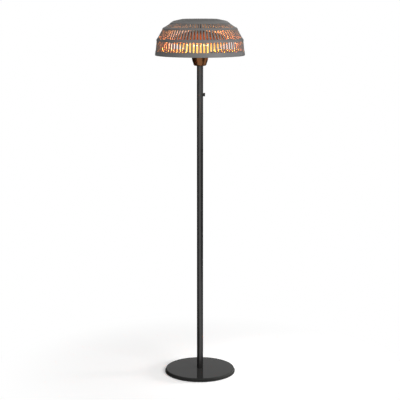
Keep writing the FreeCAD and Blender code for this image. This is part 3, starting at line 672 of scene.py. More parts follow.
@dataclass
class Base:
    """Round base: steel plate, pressed cover, feet, screws and gland."""

    steps: int = 192
    plate_edge: float = 0.0006
    cover_edge: float = 0.0035
    cover_sheet: float = 0.0015
    foot_radius: float = 0.014
    foot_edge: float = 0.001
    foot_steps: int = 48
    fit: float = 0.00005
    screw: ScrewKind = ScrewKind(
        head_radius=0.006, head_height=0.003, shank_radius=0.003, length=0.011, drive=Drive.HEX
    )
    screw_circles: tuple[tuple[str, float], ...] = (
        ("ballast_screws", 0.12),
        ("flange_screws", 0.029),
    )
    screw_count: int = 4
    foot_count: int = 6
    gland_bore: float = 0.0034
    gland_edge: float = 0.0004
    gland_flange: float = 0.0015
    gland_wall: float = 0.0008
    gland_steps: int = 48

    def build(self) -> None:
        """Models every piece of the base that shows."""
        self.build_plate()
        self.build_cover()
        self.build_feet()
        self.build_screws()
        self.build_gland()

    def build_plate(self) -> None:
        """Models the plate with its round recesses underneath."""
        low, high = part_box("base_plate")
        plate = lathe(
            "dressed_base_plate",
            [
                Corner(0.0, low.z),
                Corner(high.x, low.z, self.plate_edge),
                Corner(high.x, high.z, self.plate_edge),
                Corner(0.0, high.z),
            ],
            self.steps,
        )
        foot_low, foot_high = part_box("rubber_feet")
        recess = lathe(
            "foot_recess",
            [
                Corner(0.0, foot_low.z),
                Corner(self.foot_radius + self.fit, foot_low.z),
                Corner(self.foot_radius + self.fit, foot_high.z),
                Corner(0.0, foot_high.z),
            ],
            self.foot_steps,
        )
        shift(recess, Vector((foot_high.x - self.foot_radius, 0.0, 0.0)))
        ring_copies(recess, self.foot_count)
        carve(plate, recess)
        top = low.z + self.screw.head_height
        room = self.screw.head_radius + self.fit
        for _, circle in self.screw_circles:
            sink = lathe(
                "screw_recess",
                [Corner(0.0, 0.0), Corner(room, 0.0), Corner(room, top), Corner(0.0, top)],
                self.screw.steps,
            )
            shift(sink, Vector((circle, 0.0, 0.0)))
            ring_copies(sink, self.screw_count, math.pi / self.screw_count)
            carve(plate, sink)
        dress(plate, "base_black", Body.HEATER, "base_plate")

    def build_cover(self) -> None:
        """Models the pressed cover with its rounded edge and the hole for the gland."""
        low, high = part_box("base_cover")
        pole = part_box("pole_lower")[1].x - self.cover_sheet
        inside = high.x - self.cover_sheet
        ceiling = high.z - self.cover_sheet
        cover = lathe(
            "dressed_base_cover",
            [
                Corner(pole, high.z),
                Corner(high.x, high.z, self.cover_edge),
                Corner(high.x, low.z),
                Corner(inside, low.z),
                Corner(inside, ceiling, self.cover_edge - self.cover_sheet),
                Corner(pole, ceiling),
            ],
            self.steps,
        )
        gland_low, gland_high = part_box("cord_gland")
        bore(
            cover,
            self.gland_bore + self.gland_wall + self.fit,
            gland_high.y - gland_low.y,
            (gland_low + gland_high) / 2.0,
            tilt=(math.pi / 2.0, 0.0, 0.0),
        )
        dress(cover, "base_black", Body.HEATER, "base_cover")

    def build_feet(self) -> None:
        """Models one rubber foot and repeats it round the plate."""
        low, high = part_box("rubber_feet")
        feet = lathe(
            "dressed_rubber_feet",
            [
                Corner(0.0, low.z),
                Corner(self.foot_radius, low.z, self.foot_edge),
                Corner(self.foot_radius, high.z),
                Corner(0.0, high.z),
            ],
            self.foot_steps,
        )
        shift(feet, Vector((high.x - self.foot_radius, 0.0, 0.0)))
        ring_copies(feet, self.foot_count)
        dress(feet, "foot_rubber", Body.HEATER, "rubber_feet")

    def build_screws(self) -> None:
        """Models the screws sunk into the underside of the plate."""
        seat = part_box("base_plate")[0].z + self.screw.head_height
        for node, circle in self.screw_circles:
            screws = self.screw.model("dressed_" + node)
            turn(screws, math.pi, Axis.X)
            shift(screws, Vector((circle, 0.0, seat)))
            ring_copies(screws, self.screw_count, math.pi / self.screw_count)
            dress(screws, "screw_steel", Body.HEATER, node)

    def build_gland(self) -> None:
        """Models the cord gland with a rounded mouth."""
        low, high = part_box("cord_gland")
        flange = (high.z - low.z) / 2.0
        length = high.y - low.y
        gland = lathe(
            "dressed_cord_gland",
            [
                Corner(self.gland_bore, 0.0),
                Corner(self.gland_bore + self.gland_wall, 0.0),
                Corner(self.gland_bore + self.gland_wall, length - self.gland_flange),
                Corner(flange, length - self.gland_flange),
                Corner(flange, length, self.gland_edge),
                Corner(self.gland_bore, length, self.gland_edge),
            ],
            self.gland_steps,
        )
        turn(gland, -math.pi / 2.0, Axis.X)
        shift(gland, Vector((0.0, low.y, (low.z + high.z) / 2.0)))
        dress(gland, "switch_plastic", Body.HEATER, "cord_gland")


@dataclass
class Pole:
    """Three lengths of tube that meet end to end."""

    sections: tuple[str, ...] = ("pole_lower", "pole_middle", "pole_upper")
    wall: float = 0.0015
    edge: float = 0.0001
    steps: int = 64
    switch_bore: float = 0.00505

    def build(self) -> None:
        """Models the tubes and bores the top one for the switch."""
        for node in self.sections:
            low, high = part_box(node)
            tube = lathe(
                "dressed_" + node,
                [
                    Corner(high.x, low.z, self.edge),
                    Corner(high.x, high.z, self.edge),
                    Corner(high.x - self.wall, high.z),
                    Corner(high.x - self.wall, low.z),
                ],
                self.steps,
            )
            if node == self.sections[-1]:
                switch_low, switch_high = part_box("switch_saddle")
                hole = Vector((high.x, 0.0, (switch_low.z + switch_high.z) / 2.0))
                bore(tube, self.switch_bore, high.x, hole, tilt=(0.0, math.pi / 2.0, 0.0))
            dress(tube, "pole_black", Body.HEATER, node)


@dataclass
class Switch:
    """Rotary switch: saddle washer on the pole and a fluted knob."""

    bush_bore: float = 0.00505
    saddle_edge: float = 0.0005
    knob_edge: float = 0.001
    knob_wall: float = 0.0014
    knob_seat: float = 0.00305
    knob_face: float = 0.0016
    nut_room: float = 0.0022
    flutes: int = 24
    flute_share: float = 0.94
    groove_share: float = 0.125
    dish: float = 0.0004
    pointer_width: float = 0.0014
    pointer_height: float = 0.0006
    pointer_edge_share: float = 0.4
    steps: int = 96

    def build(self) -> None:
        """Models the saddle and the knob."""
        self.build_saddle()
        self.build_knob()

    def build_saddle(self) -> None:
        """Models the washer, hollowed to bed on the round pole."""
        low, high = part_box("switch_saddle")
        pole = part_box("pole_upper")[1].x
        radius = (high.z - low.z) / 2.0
        level = (low.z + high.z) / 2.0
        saddle = lathe(
            "dressed_switch_saddle",
            [
                Corner(self.bush_bore, 0.0),
                Corner(radius, 0.0),
                Corner(radius, high.x, self.saddle_edge),
                Corner(self.bush_bore, high.x),
            ],
            self.steps,
        )
        turn(saddle, math.pi / 2.0, Axis.Y)
        middle = Vector((0.0, 0.0, level))
        shift(saddle, middle)
        bore(saddle, pole, 4.0 * radius, middle, sides=self.steps)
        dress(saddle, "switch_plastic", Body.HEATER, "switch_saddle")

    def build_knob(self) -> None:
        """Models the knob: dished face, fluted side, hollow back and raised pointer."""
        low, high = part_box("switch_knob")
        radius = (high.z - low.z) / 2.0
        level = (low.z + high.z) / 2.0
        length = high.x - low.x - self.pointer_height
        knob = lathe(
            "dressed_switch_knob",
            [
                Corner(self.knob_seat, self.nut_room),
                Corner(radius - self.knob_wall, self.nut_room),
                Corner(radius - self.knob_wall, 0.0),
                Corner(radius, 0.0),
                Corner(radius, length, self.knob_edge),
                Corner(radius - 2.0 * self.knob_edge, length),
                Corner(0.0, length - self.dish),
                Corner(0.0, length - self.knob_face),
                Corner(self.knob_seat, length - self.knob_face),
            ],
            self.steps,
        )
        edit_all(knob)
        pitch = math.tau / self.flutes

        def in_groove(place: Vector) -> bool:
            """Says whether a vertex of the side lies at the bottom of a flute.

            Args:
                place: the vertex's place.

            Returns:
                True at the bottom of a flute.
            """
            around = math.atan2(place.y, place.x) % pitch
            outside = math.hypot(place.x, place.y) > radius - PLACE_TOLERANCE
            return outside and abs(around - pitch / 2.0) < pitch * self.groove_share

        select_vertices(knob, in_groove)
        bpy.ops.transform.resize(
            value=(self.flute_share, self.flute_share, 1.0), center_override=ORIGIN
        )
        bpy.ops.object.mode_set(mode="OBJECT")
        reach = radius - 2.0 * self.knob_edge
        pointer = bar(
            "pointer",
            (reach, self.pointer_width, 2.0 * self.pointer_height),
            self.pointer_height * self.pointer_edge_share,
        )
        shift(pointer, Vector((-reach / 2.0, 0.0, length)))
        pick(knob)
        pointer.select_set(True)
        bpy.ops.object.join()
        turn(knob, math.pi / 2.0, Axis.Y)
        shift(knob, Vector((low.x, 0.0, level)))
        smooth(knob)
        dress(knob, "switch_plastic", Body.KNOB, "switch_knob")


@dataclass
class Neck:
    """Copper-coloured cup between the pole and the bowl."""

    base_radius: float = 0.026
    sheet: float = 0.0015
    brim_round: float = 0.0005
    stem_bore: float = 0.00605
    shoulder_radius_share: float = 0.51
    shoulder_height_share: float = 0.165
    waist_radius_share: float = 0.83
    waist_height_share: float = 0.44
    arc_steps: int = 12
    steps: int = 128

    def side(self, inset: float, bottom: float, brim: Corner) -> list[Corner]:
        """Gives the cup's side from its flat bottom to its brim.

        Args:
            inset: distance inside the outer face.
            bottom: level of the flat bottom.
            brim: outer corner of the brim.

        Returns:
            Corners from the bottom up.
        """
        base = self.base_radius - inset
        reach = brim.radius - inset - base
        height = brim.height - bottom
        shoulder = Corner(
            base + reach * self.shoulder_radius_share,
            bottom + height * self.shoulder_height_share,
        )
        bend = Corner(
            base + (shoulder.radius - base) * COS_45,
            bottom + (shoulder.height - bottom) * (1.0 - COS_45),
        )
        waist = Corner(
            base + reach * self.waist_radius_share,
            bottom + height * self.waist_height_share,
        )
        top = Corner(brim.radius - inset, brim.height)
        lower = arc_corners(Corner(base, bottom), bend, shoulder, self.arc_steps)
        return lower[:-1] + arc_corners(shoulder, waist, top, self.arc_steps)

    def build(self) -> None:
        """Models the cup as one spun sheet."""
        low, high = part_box("neck_cup")
        brim = Corner(high.x, high.z)
        floor = low.z + self.sheet
        outline = [Corner(self.stem_bore, low.z)] + self.side(0.0, low.z, brim)
        outline += self.side(self.sheet, floor, brim)[::-1] + [Corner(self.stem_bore, floor)]
        cup = lathe("dressed_neck_cup", outline, self.steps)
        dress(cup, "copper", Body.HEATER, "neck_cup")


@dataclass
class Head:
    """Glass bowl, its ring, the reflector and the hood over them."""

    steps: int = 160
    arc_steps: int = 18
    glass: float = 0.004
    glass_edge: float = 0.0012
    bowl_bore: float = 0.008
    bowl_foot: float = 0.048
    bowl_mouth: float = 0.144
    bulge_radius_share: float = 0.52
    bulge_height_share: float = 0.47
    ring_sheet: float = 0.0015
    ring_lip: float = 0.1446
    ring_edge: float = 0.0004
    ring_screw: ScrewKind = ScrewKind(
        head_radius=0.003, head_height=0.0018, shank_radius=0.0015, length=0.007, drive=Drive.CROSS
    )
    ring_screw_count: int = 6
    hood_knuckle: float = 0.04
    hood_sheet: float = 0.0012
    hood_rise: float = 0.06
    stem_bore: float = 0.00605
    reflector_mouth: float = 0.137
    reflector_crown: float = 0.084
    reflector_sheet: float = 0.001
    reflector_bend: float = 0.004

    def build(self) -> None:
        """Models the pieces of the head that show."""
        self.build_bowl()
        self.build_ring()
        self.build_hood()
        self.build_reflector()

    def bowl_side(self, inset: float, bottom: float, top: float) -> list[Corner]:
        """Gives the curved wall of the bowl from its flat foot to its mouth.

        Args:
            inset: distance inside the outer face.
            bottom: level of the foot.
            top: level of the mouth.

        Returns:
            Corners from the foot up.
        """
        foot = self.bowl_foot - inset
        mouth = self.bowl_mouth - inset
        bulge = Corner(
            foot + (mouth - foot) * self.bulge_radius_share,
            bottom + (top - bottom) * self.bulge_height_share,
        )
        return arc_corners(Corner(foot, bottom), bulge, Corner(mouth, top), self.arc_steps)

    def build_bowl(self) -> None:
        """Models the dish with its flat foot and its flange."""
        low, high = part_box("glass_bowl")
        outline = [Corner(self.bowl_bore, low.z)]
        outline += self.bowl_side(0.0, low.z, high.z - self.glass)
        outline += [
            Corner(high.x, high.z - self.glass, self.glass_edge),
            Corner(high.x, high.z, self.glass_edge),
        ]
        outline += self.bowl_side(self.glass, low.z + self.glass, high.z)[::-1]
        outline += [Corner(self.bowl_bore, low.z + self.glass)]
        bowl = lathe("dressed_glass_bowl", outline, self.steps)
        dress(bowl, "amber_glass", Body.HEATER, "glass_bowl")

    def build_ring(self) -> None:
        """Models the angle ring under the bowl's flange and its screws."""
        low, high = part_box("bowl_ring")
        inner = high.x - self.ring_sheet
        ring = lathe(
            "dressed_bowl_ring",
            [
                Corner(self.ring_lip, low.z, self.ring_edge),
                Corner(high.x, low.z, self.ring_edge),
                Corner(high.x, high.z, self.ring_edge),
                Corner(inner, high.z),
                Corner(inner, low.z + self.ring_sheet),
                Corner(self.ring_lip, low.z + self.ring_sheet),
            ],
            self.steps,
        )
        # The ring takes the lighter amber copy of the copper, a painted glow on it.
        dress(ring, "copper", Body.HEATER, "bowl_ring", finish="glow_lit_copper")
        screw_low, screw_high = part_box("bowl_ring_screws")
        screws = self.ring_screw.model("dressed_bowl_ring_screws")
        turn(screws, math.pi / 2.0, Axis.Y)
        seat = screw_high.x - self.ring_screw.head_height
        shift(screws, Vector((seat, 0.0, (screw_low.z + screw_high.z) / 2.0)))
        ring_copies(screws, self.ring_screw_count)
        dress(screws, "screw_steel", Body.HEATER, "bowl_ring_screws")

    def hood_side(self, depth: float, edge: Corner, pad_level: float) -> list[Corner]:
        """Gives one face of the hood from its edge to its flat pad.

        Args:
            depth: distance inside the outer face.
            edge: outer corner of the hood's edge.
            pad_level: level of this face's pad.

        Returns:
            Corners from the edge inwards.
        """
        step = self.hood_rise - self.hood_knuckle
        offset = edge.radius - self.hood_knuckle
        sink = (offset**2 - step**2) / (2.0 * step)
        lean = math.atan2(sink, offset)
        knuckle = self.hood_knuckle - depth
        sphere = sink + self.hood_rise - depth
        centre = edge.height - sink

        def on_knuckle(angle: float) -> Corner:
            """Gives a corner of the knuckle's arc."""
            reach, rise = knuckle * math.cos(angle), knuckle * math.sin(angle)
            return Corner(offset + reach, edge.height + rise)

        join = on_knuckle(lean)
        pad = math.sqrt(sphere**2 - (pad_level - centre) ** 2)
        middle = (join.radius + pad) / 2.0
        crown = Corner(middle, centre + math.sqrt(sphere**2 - middle**2))
        lower = arc_corners(on_knuckle(0.0), on_knuckle(lean / 2.0), join, self.arc_steps)
        return lower[:-1] + arc_corners(join, crown, Corner(pad, pad_level), self.arc_steps)

    def build_hood(self) -> None:
        """Models the dished hood with its knuckle, crown and pad."""
        low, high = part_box("hood")
        edge = Corner(high.x, low.z)
        under = high.z - self.hood_sheet
        outline = self.hood_side(0.0, edge, high.z)
        outline += [Corner(self.stem_bore, high.z), Corner(self.stem_bore, under)]
        outline += self.hood_side(self.hood_sheet, edge, under)[::-1]
        hood = lathe("dressed_hood", outline, self.steps)
        dress(hood, "copper", Body.HEATER, "hood", finish="satin_copper")

    def build_reflector(self) -> None:
        """Models the reflector with soft bends at its mouth and crown."""
        low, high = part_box("reflector")
        sheet = self.reflector_sheet
        edge = low.z + sheet
        under = high.z - sheet
        reflector = lathe(
            "dressed_reflector",
            [
                Corner(high.x, edge),
                Corner(self.reflector_mouth, edge, self.reflector_bend),
                Corner(self.reflector_crown, high.z, self.reflector_bend),
                Corner(self.stem_bore, high.z),
                Corner(self.stem_bore, under),
                Corner(self.reflector_crown - sheet, under, self.reflector_bend),
                Corner(self.reflector_mouth - sheet, low.z, self.reflector_bend),
                Corner(high.x, low.z),
            ],
            self.steps,
        )
        dress(reflector, "gold_reflector", Body.HEATER, "reflector")


@dataclass
class Lamps:
    """Quartz tubes and coiled filaments of the three lamps."""

    names: tuple[str, ...] = ("front", "right", "left")
    circle: float = 0.062
    length: float = 0.108
    tube_radius: float = 0.0055
    tube_wall: float = 0.001
    coil_radius: float = 0.00095
    wire_radius: float = 0.00024
    coil_turns: int = 60
    coil_length: float = 0.096
    coil_steps: int = 10
    wire_sides: int = 6
    steps: int = 32

    def build(self) -> None:
        """Models the tube and the coil of each lamp."""
        for index, name in enumerate(self.names):
            angle = Side.FRONT + math.tau * index / len(self.names)
            self.build_tube(name, angle)
            self.build_coil(name, angle)

    def put(self, piece: bpy.types.Object, angle: float) -> None:
        """Lays a piece modelled upright at the origin in a lamp's place.

        Args:
            piece: the piece.
            angle: lamp's angle about the stem.
        """
        low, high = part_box("lamp_tube_" + self.names[0])
        turn(piece, math.pi / 2.0, Axis.X)
        shift(piece, Vector((self.circle, 0.0, (low.z + high.z) / 2.0)))
        turn(piece, angle, Axis.Z)

    def build_tube(self, name: str, angle: float) -> None:
        """Models one quartz tube.

        Args:
            name: name of the lamp.
            angle: lamp's angle about the stem.
        """
        half = self.length / 2.0
        inside = self.tube_radius - self.tube_wall
        tube = lathe(
            "dressed_lamp_tube_" + name,
            [
                Corner(self.tube_radius, -half, self.tube_wall / 2.0),
                Corner(self.tube_radius, half, self.tube_wall / 2.0),
                Corner(inside, half),
                Corner(inside, -half),
            ],
            self.steps,
        )
        self.put(tube, angle)
        dress(tube, "quartz", Body.HEATER, "lamp_tube_" + name)

    def build_coil(self, name: str, angle: float) -> None:
        """Models one filament as a wound wire.

        Args:
            name: name of the lamp.
            angle: lamp's angle about the stem.
        """
        start_clean()
        bpy.ops.mesh.primitive_circle_add(vertices=self.wire_sides, radius=self.wire_radius)
        coil = bpy.context.object
        coil.name = "dressed_lamp_filament_" + name
        turn(coil, math.pi / 2.0, Axis.X)
        shift(coil, Vector((self.coil_radius, 0.0, -self.coil_length / 2.0)))
        winding = coil.modifiers.new("winding", "SCREW")
        winding.axis = "Z"
        winding.angle = math.tau
        winding.screw_offset = self.coil_length / self.coil_turns
        winding.iterations = self.coil_turns
        winding.steps = self.coil_steps
        winding.render_steps = self.coil_steps
        bpy.ops.object.modifier_apply(modifier=winding.name)
        edit_all(coil)
        bpy.ops.mesh.fill_holes(sides=self.wire_sides)
        weld_outwards()
        bpy.ops.object.mode_set(mode="OBJECT")
        smooth(coil)
        self.put(coil, angle)
        dress(coil, "filament", Body.HEATER, "lamp_filament_" + name)


@dataclass
class Shade:
    """Slatted shade: post, cap, rings, beaded rim and three bands of flat slats."""

    rim_radius: float = 0.2465
    slopes: tuple[tuple[float, float], ...] = (
        (0.0088, 0.086),
        (0.0351, 0.0625),
        (0.0571, 0.038),
        (0.0485, 0.0105),
    )
    sheet: float = 0.0015
    sheet_edge: float = 0.0004
    ring_half: float = 0.0085
    rim_width: float = 0.025
    bead_radius: float = 0.0035
    cap_skirt: float = 0.022
    cap_bend: float = 0.003
    recess_radius: float = 0.044
    recess_depth: float = 0.004
    slat_count: int = 80
    slat_width: float = 0.009
    slat_thickness: float = 0.006
    slat_edge: float = 0.001
    slat_gap: float = 0.0025
    slat_phase_share: float = 0.7
    fit: float = 0.00005
    post_foot: float = 0.03
    post_waist: float = 0.012
    post_flange: float = 0.004
    post_taper: float = 0.013
    post_round: float = 0.0012
    post_steps: int = 96
    stem_bore: float = 0.00605
    screw: ScrewKind = ScrewKind(
        head_radius=0.005, head_height=0.0028, shank_radius=0.002, length=0.004, drive=Drive.HEX
    )
    screw_circle: float = 0.026
    screw_count: int = 4
    steps: int = 240
    bead_steps: int = 14

    def corners(self) -> list[Corner]:
        """Gives the corners of the outer meridian.

        Returns:
            Corners from the rim up to the flat top.
        """
        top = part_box("shade_cap")[1].z
        level = top - sum(rise for _, rise in self.slopes)
        found = [Corner(self.rim_radius, level)]
        for inset, rise in self.slopes:
            found.append(Corner(found[-1].radius - inset, found[-1].height + rise))
        return found

    @staticmethod
    def slope(start: Corner, end: Corner) -> tuple[Vector, Vector]:
        """Gives the upward direction of a slope and the direction square to it, inwards."""
        along = (end.place() - start.place()).normalized()
        return along, Vector((-along.z, 0.0, along.x))

    @staticmethod
    def at(place: Vector, rounding: float = 0.0) -> Corner:
        """Makes a corner at a place in the plane of the outline."""
        return Corner(place.x, place.z, rounding)

    def sheet_outline(self, line: list[Vector], bends: list[float]) -> list[Corner]:
        """Gives a bent sheet's outline from the line of its outer face.

        Args:
            line: corners of the outer face, from the outside towards the axis.
            bends: rounding of each corner of that line.

        Returns:
            Closed outline of the sheet.
        """
        runs = [(b - a).normalized() for a, b in zip(line, line[1:])]
        normals = [Vector((-run.z, 0.0, run.x)) for run in runs]
        inner = [line[0] + normals[0] * self.sheet]
        for index in range(1, len(line) - 1):
            before, after = normals[index - 1], normals[index]
            inner.append(line[index] + (before + after) * (self.sheet / (1.0 + before.dot(after))))
        inner.append(line[-1] + normals[-1] * self.sheet)
        outer = [self.at(place, bend) for place, bend in zip(line, bends)]
        return outer + [self.at(place) for place in inner[::-1]]

    def build(self) -> None:
        """Models the whole shade."""
        self.build_rim()
        self.build_ring("shade_ring_middle", 1)
        self.build_ring("shade_ring_upper", 2)
        self.build_cap()
        self.build_post()
        for band, node in enumerate(("slats_lower", "slats_middle", "slats_upper")):
            self.build_slats(node, band)

    def build_rim(self) -> None:
        """Models the rim band with the bead rolled along its lower edge."""
        first, second = self.corners()[:2]
        along, inwards = self.slope(first, second)
        start = first.place() + along * self.bead_radius
        top = first.place() + along * self.rim_width
        centre = start + inwards * self.bead_radius
        lift = math.sqrt(self.bead_radius**2 - (self.bead_radius - self.sheet) ** 2)
        end = start + inwards * self.sheet + along * lift
        middle = centre + (inwards - along) * (self.bead_radius * COS_45)
        bead = arc_corners(self.at(start), self.at(middle), self.at(end), self.bead_steps)
        outline = [self.at(top, self.sheet_edge)] + bead
        outline += [self.at(top + inwards * self.sheet, self.sheet_edge)]
        rim = lathe("dressed_shade_rim", outline, self.steps)
        dress(rim, "shade_grey", Body.HEATER, "shade_rim")

    def build_ring(self, node: str, index: int) -> None:
        """Models a ring bent along a corner of the meridian.

        Args:
            node: node that the ring stands for.
            index: number of the corner.
        """
        corners = self.corners()
        below = self.slope(corners[index - 1], corners[index])[0]
        above = self.slope(corners[index], corners[index + 1])[0]
        corner = corners[index].place()
        line = [corner - below * self.ring_half, corner, corner + above * self.ring_half]
        outline = self.sheet_outline(line, [self.sheet_edge, self.sheet, self.sheet_edge])
        ring = lathe("dressed_" + node, outline, self.steps)
        dress(ring, "shade_grey", Body.HEATER, node)

    def build_cap(self) -> None:
        """Models the closed cap with its skirt, shoulder, flat top and recess, and its screws."""
        corners = self.corners()
        skirt = self.slope(corners[2], corners[3])[0]
        top = corners[4].height
        line = [
            corners[3].place() - skirt * self.cap_skirt,
            corners[3].place(),
            corners[4].place(),
            Vector((self.recess_radius, 0.0, top)),
            Vector((self.recess_radius, 0.0, top - self.recess_depth)),
            Vector((0.0, 0.0, top - self.recess_depth)),
        ]
        bends = [self.sheet_edge, self.cap_bend, self.cap_bend, self.sheet, 0.0, 0.0]
        cap = lathe("dressed_shade_cap", self.sheet_outline(line, bends), self.steps)
        dress(cap, "shade_grey", Body.HEATER, "shade_cap")
        screws = self.screw.model("dressed_cap_screws")
        shift(screws, Vector((self.screw_circle, 0.0, top - self.recess_depth)))
        ring_copies(screws, self.screw_count)
        dress(screws, "screw_steel", Body.HEATER, "cap_screws")

    def build_post(self) -> None:
        """Models the turned post with its soft edges."""
        low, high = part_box("shade_post")
        head = high.x
        stem_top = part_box("stem_tube")[1].z + self.fit
        foot_top = low.z + self.post_flange
        head_bottom = high.z - self.post_flange
        post = lathe(
            "dressed_shade_post",
            [
                Corner(0.0, stem_top),
                Corner(self.stem_bore, stem_top),
                Corner(self.stem_bore, low.z),
                Corner(self.post_foot, low.z),
                Corner(self.post_foot, foot_top, self.post_round),
                Corner(self.post_waist, foot_top + self.post_taper, self.post_flange),
                Corner(self.post_waist, head_bottom - self.post_taper, self.post_flange),
                Corner(head, head_bottom, self.post_round),
                Corner(head, high.z),
                Corner(0.0, high.z),
            ],
            self.post_steps,
        )
        dress(post, "post_dark", Body.HEATER, "shade_post")

    def build_slats(self, node: str, band: int) -> None:
        """Models one slat of a band and repeats it round the shade.

        Args:
            node: node that the band stands for.
            band: number of the slope, from the rim up.
        """
        lower, upper = self.corners()[band:band + 2]
        along, inwards = self.slope(lower, upper)
        start = 2.0 * self.bead_radius + self.fit if band == 0 else self.slat_gap
        run = (upper.place() - lower.place()).length
        length = run - self.slat_gap - start
        bow = upper.radius - math.sqrt(upper.radius**2 - (self.slat_width / 2.0) ** 2)
        depth = self.sheet + self.fit + bow + self.slat_thickness / 2.0
        middle = lower.place() + along * (start + length / 2.0) + inwards * depth
        size = (self.slat_thickness, self.slat_width, length)
        slats = bar("dressed_" + node, size, self.slat_edge)
        turn(slats, math.atan2(along.x, along.z), Axis.Y)
        shift(slats, middle)
        first = Side.FRONT + math.tau * self.slat_phase_share / self.slat_count
        ring_copies(slats, self.slat_count, first)
        dress(slats, "shade_grey", Body.HEATER, node)


# Studio


def hang_light(data: bpy.types.Light, place: Triple, angles: Triple, mirrored: bool) -> None:
    """Puts a light in the scene, out of the camera's sight.

    Args:
        data: settings of the light.
        place: where it hangs.
        angles: Euler angles that aim it.
        mirrored: whether glossy pieces show it.
    """
    light = bpy.data.objects.new(data.name, data)
    light.location = place
    light.rotation_euler = angles
    light.visible_camera = False
    light.visible_glossy = mirrored
    bpy.context.scene.collection.objects.link(light)


@dataclass(frozen=True)
class GlowRing:
    """Ring of small warm lights inside the shade, beside one node."""

    name: str
    node: str
    level_share: float
    circle: float
    count: int
    power: float
    radius: float
    tilt: float = 0.0
    cone: float = math.tau
    blend: float = 0.35
    colour: Colour = (1.0, 0.24, 0.06)
    mirrored: bool = True
    middle: Side = Side.FRONT
    spread: float = math.tau

    def add(self) -> None:
        """Adds the lights: spots that lean up from the outward direction, or points all round."""
        low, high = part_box(self.node)
        level = low.z + (high.z - low.z) * self.level_share
        for index in range(self.count):
            angle = self.middle + self.spread * ((index + 0.5) / self.count - 0.5)
            data = bpy.data.lights.new(self.name, "SPOT" if self.cone < math.tau else "POINT")
            data.color = self.colour
            data.energy = self.power
            data.shadow_soft_size = self.radius
            if data.type == "SPOT":
                data.spot_size = self.cone
                data.spot_blend = self.blend
            place = (self.circle * math.cos(angle), self.circle * math.sin(angle), level)
            outwards = (math.pi / 2.0 + self.tilt, 0.0, angle - math.pi / 2.0)
            hang_light(data, place, outwards, self.mirrored)


@dataclass(frozen=True)
class Softbox:
    """Square soft light aimed at one place."""

    name: str
    place: Triple
    size: float
    power: float
    aim: Triple = (0.0, 0.0, 1.0)
    spread: float = math.pi
    mirrored: bool = True

    def add(self) -> None:
        """Adds the light, which the camera doesn't see."""
        data = bpy.data.lights.new(self.name, "AREA")
        data.shape = "SQUARE"
        data.size = self.size
        data.energy = self.power
        data.spread = self.spread
        sight = Vector(self.aim) - Vector(self.place)
        hang_light(data, self.place, sight.to_track_quat("-Z", "Y").to_euler(), self.mirrored)


@dataclass(frozen=True)
class Card:
    """Black card that shows only as a dark stripe in glossy pieces."""

    middle: Triple
    width: float
    depth: float
    upright: bool = True

    def add(self, material: bpy.types.Material) -> None:
        """Stands the card up along Y, or lays it flat.

        Args:
            material: black of the card.
        """
        start_clean()
        bpy.ops.mesh.primitive_plane_add(size=1.0)
        card = bpy.context.object
        card.name = "black_card"
        edit_all(card)
        bpy.ops.transform.resize(value=(self.width, self.depth, 1.0))
        bpy.ops.object.mode_set(mode="OBJECT")
        if self.upright:
            turn(card, math.pi / 2.0, Axis.Y)
        shift(card, Vector(self.middle))
        card.data.materials.append(material)
        for kind in ("camera", "diffuse", "transmission", "volume_scatter", "shadow"):
            setattr(card, "visible_" + kind, False)


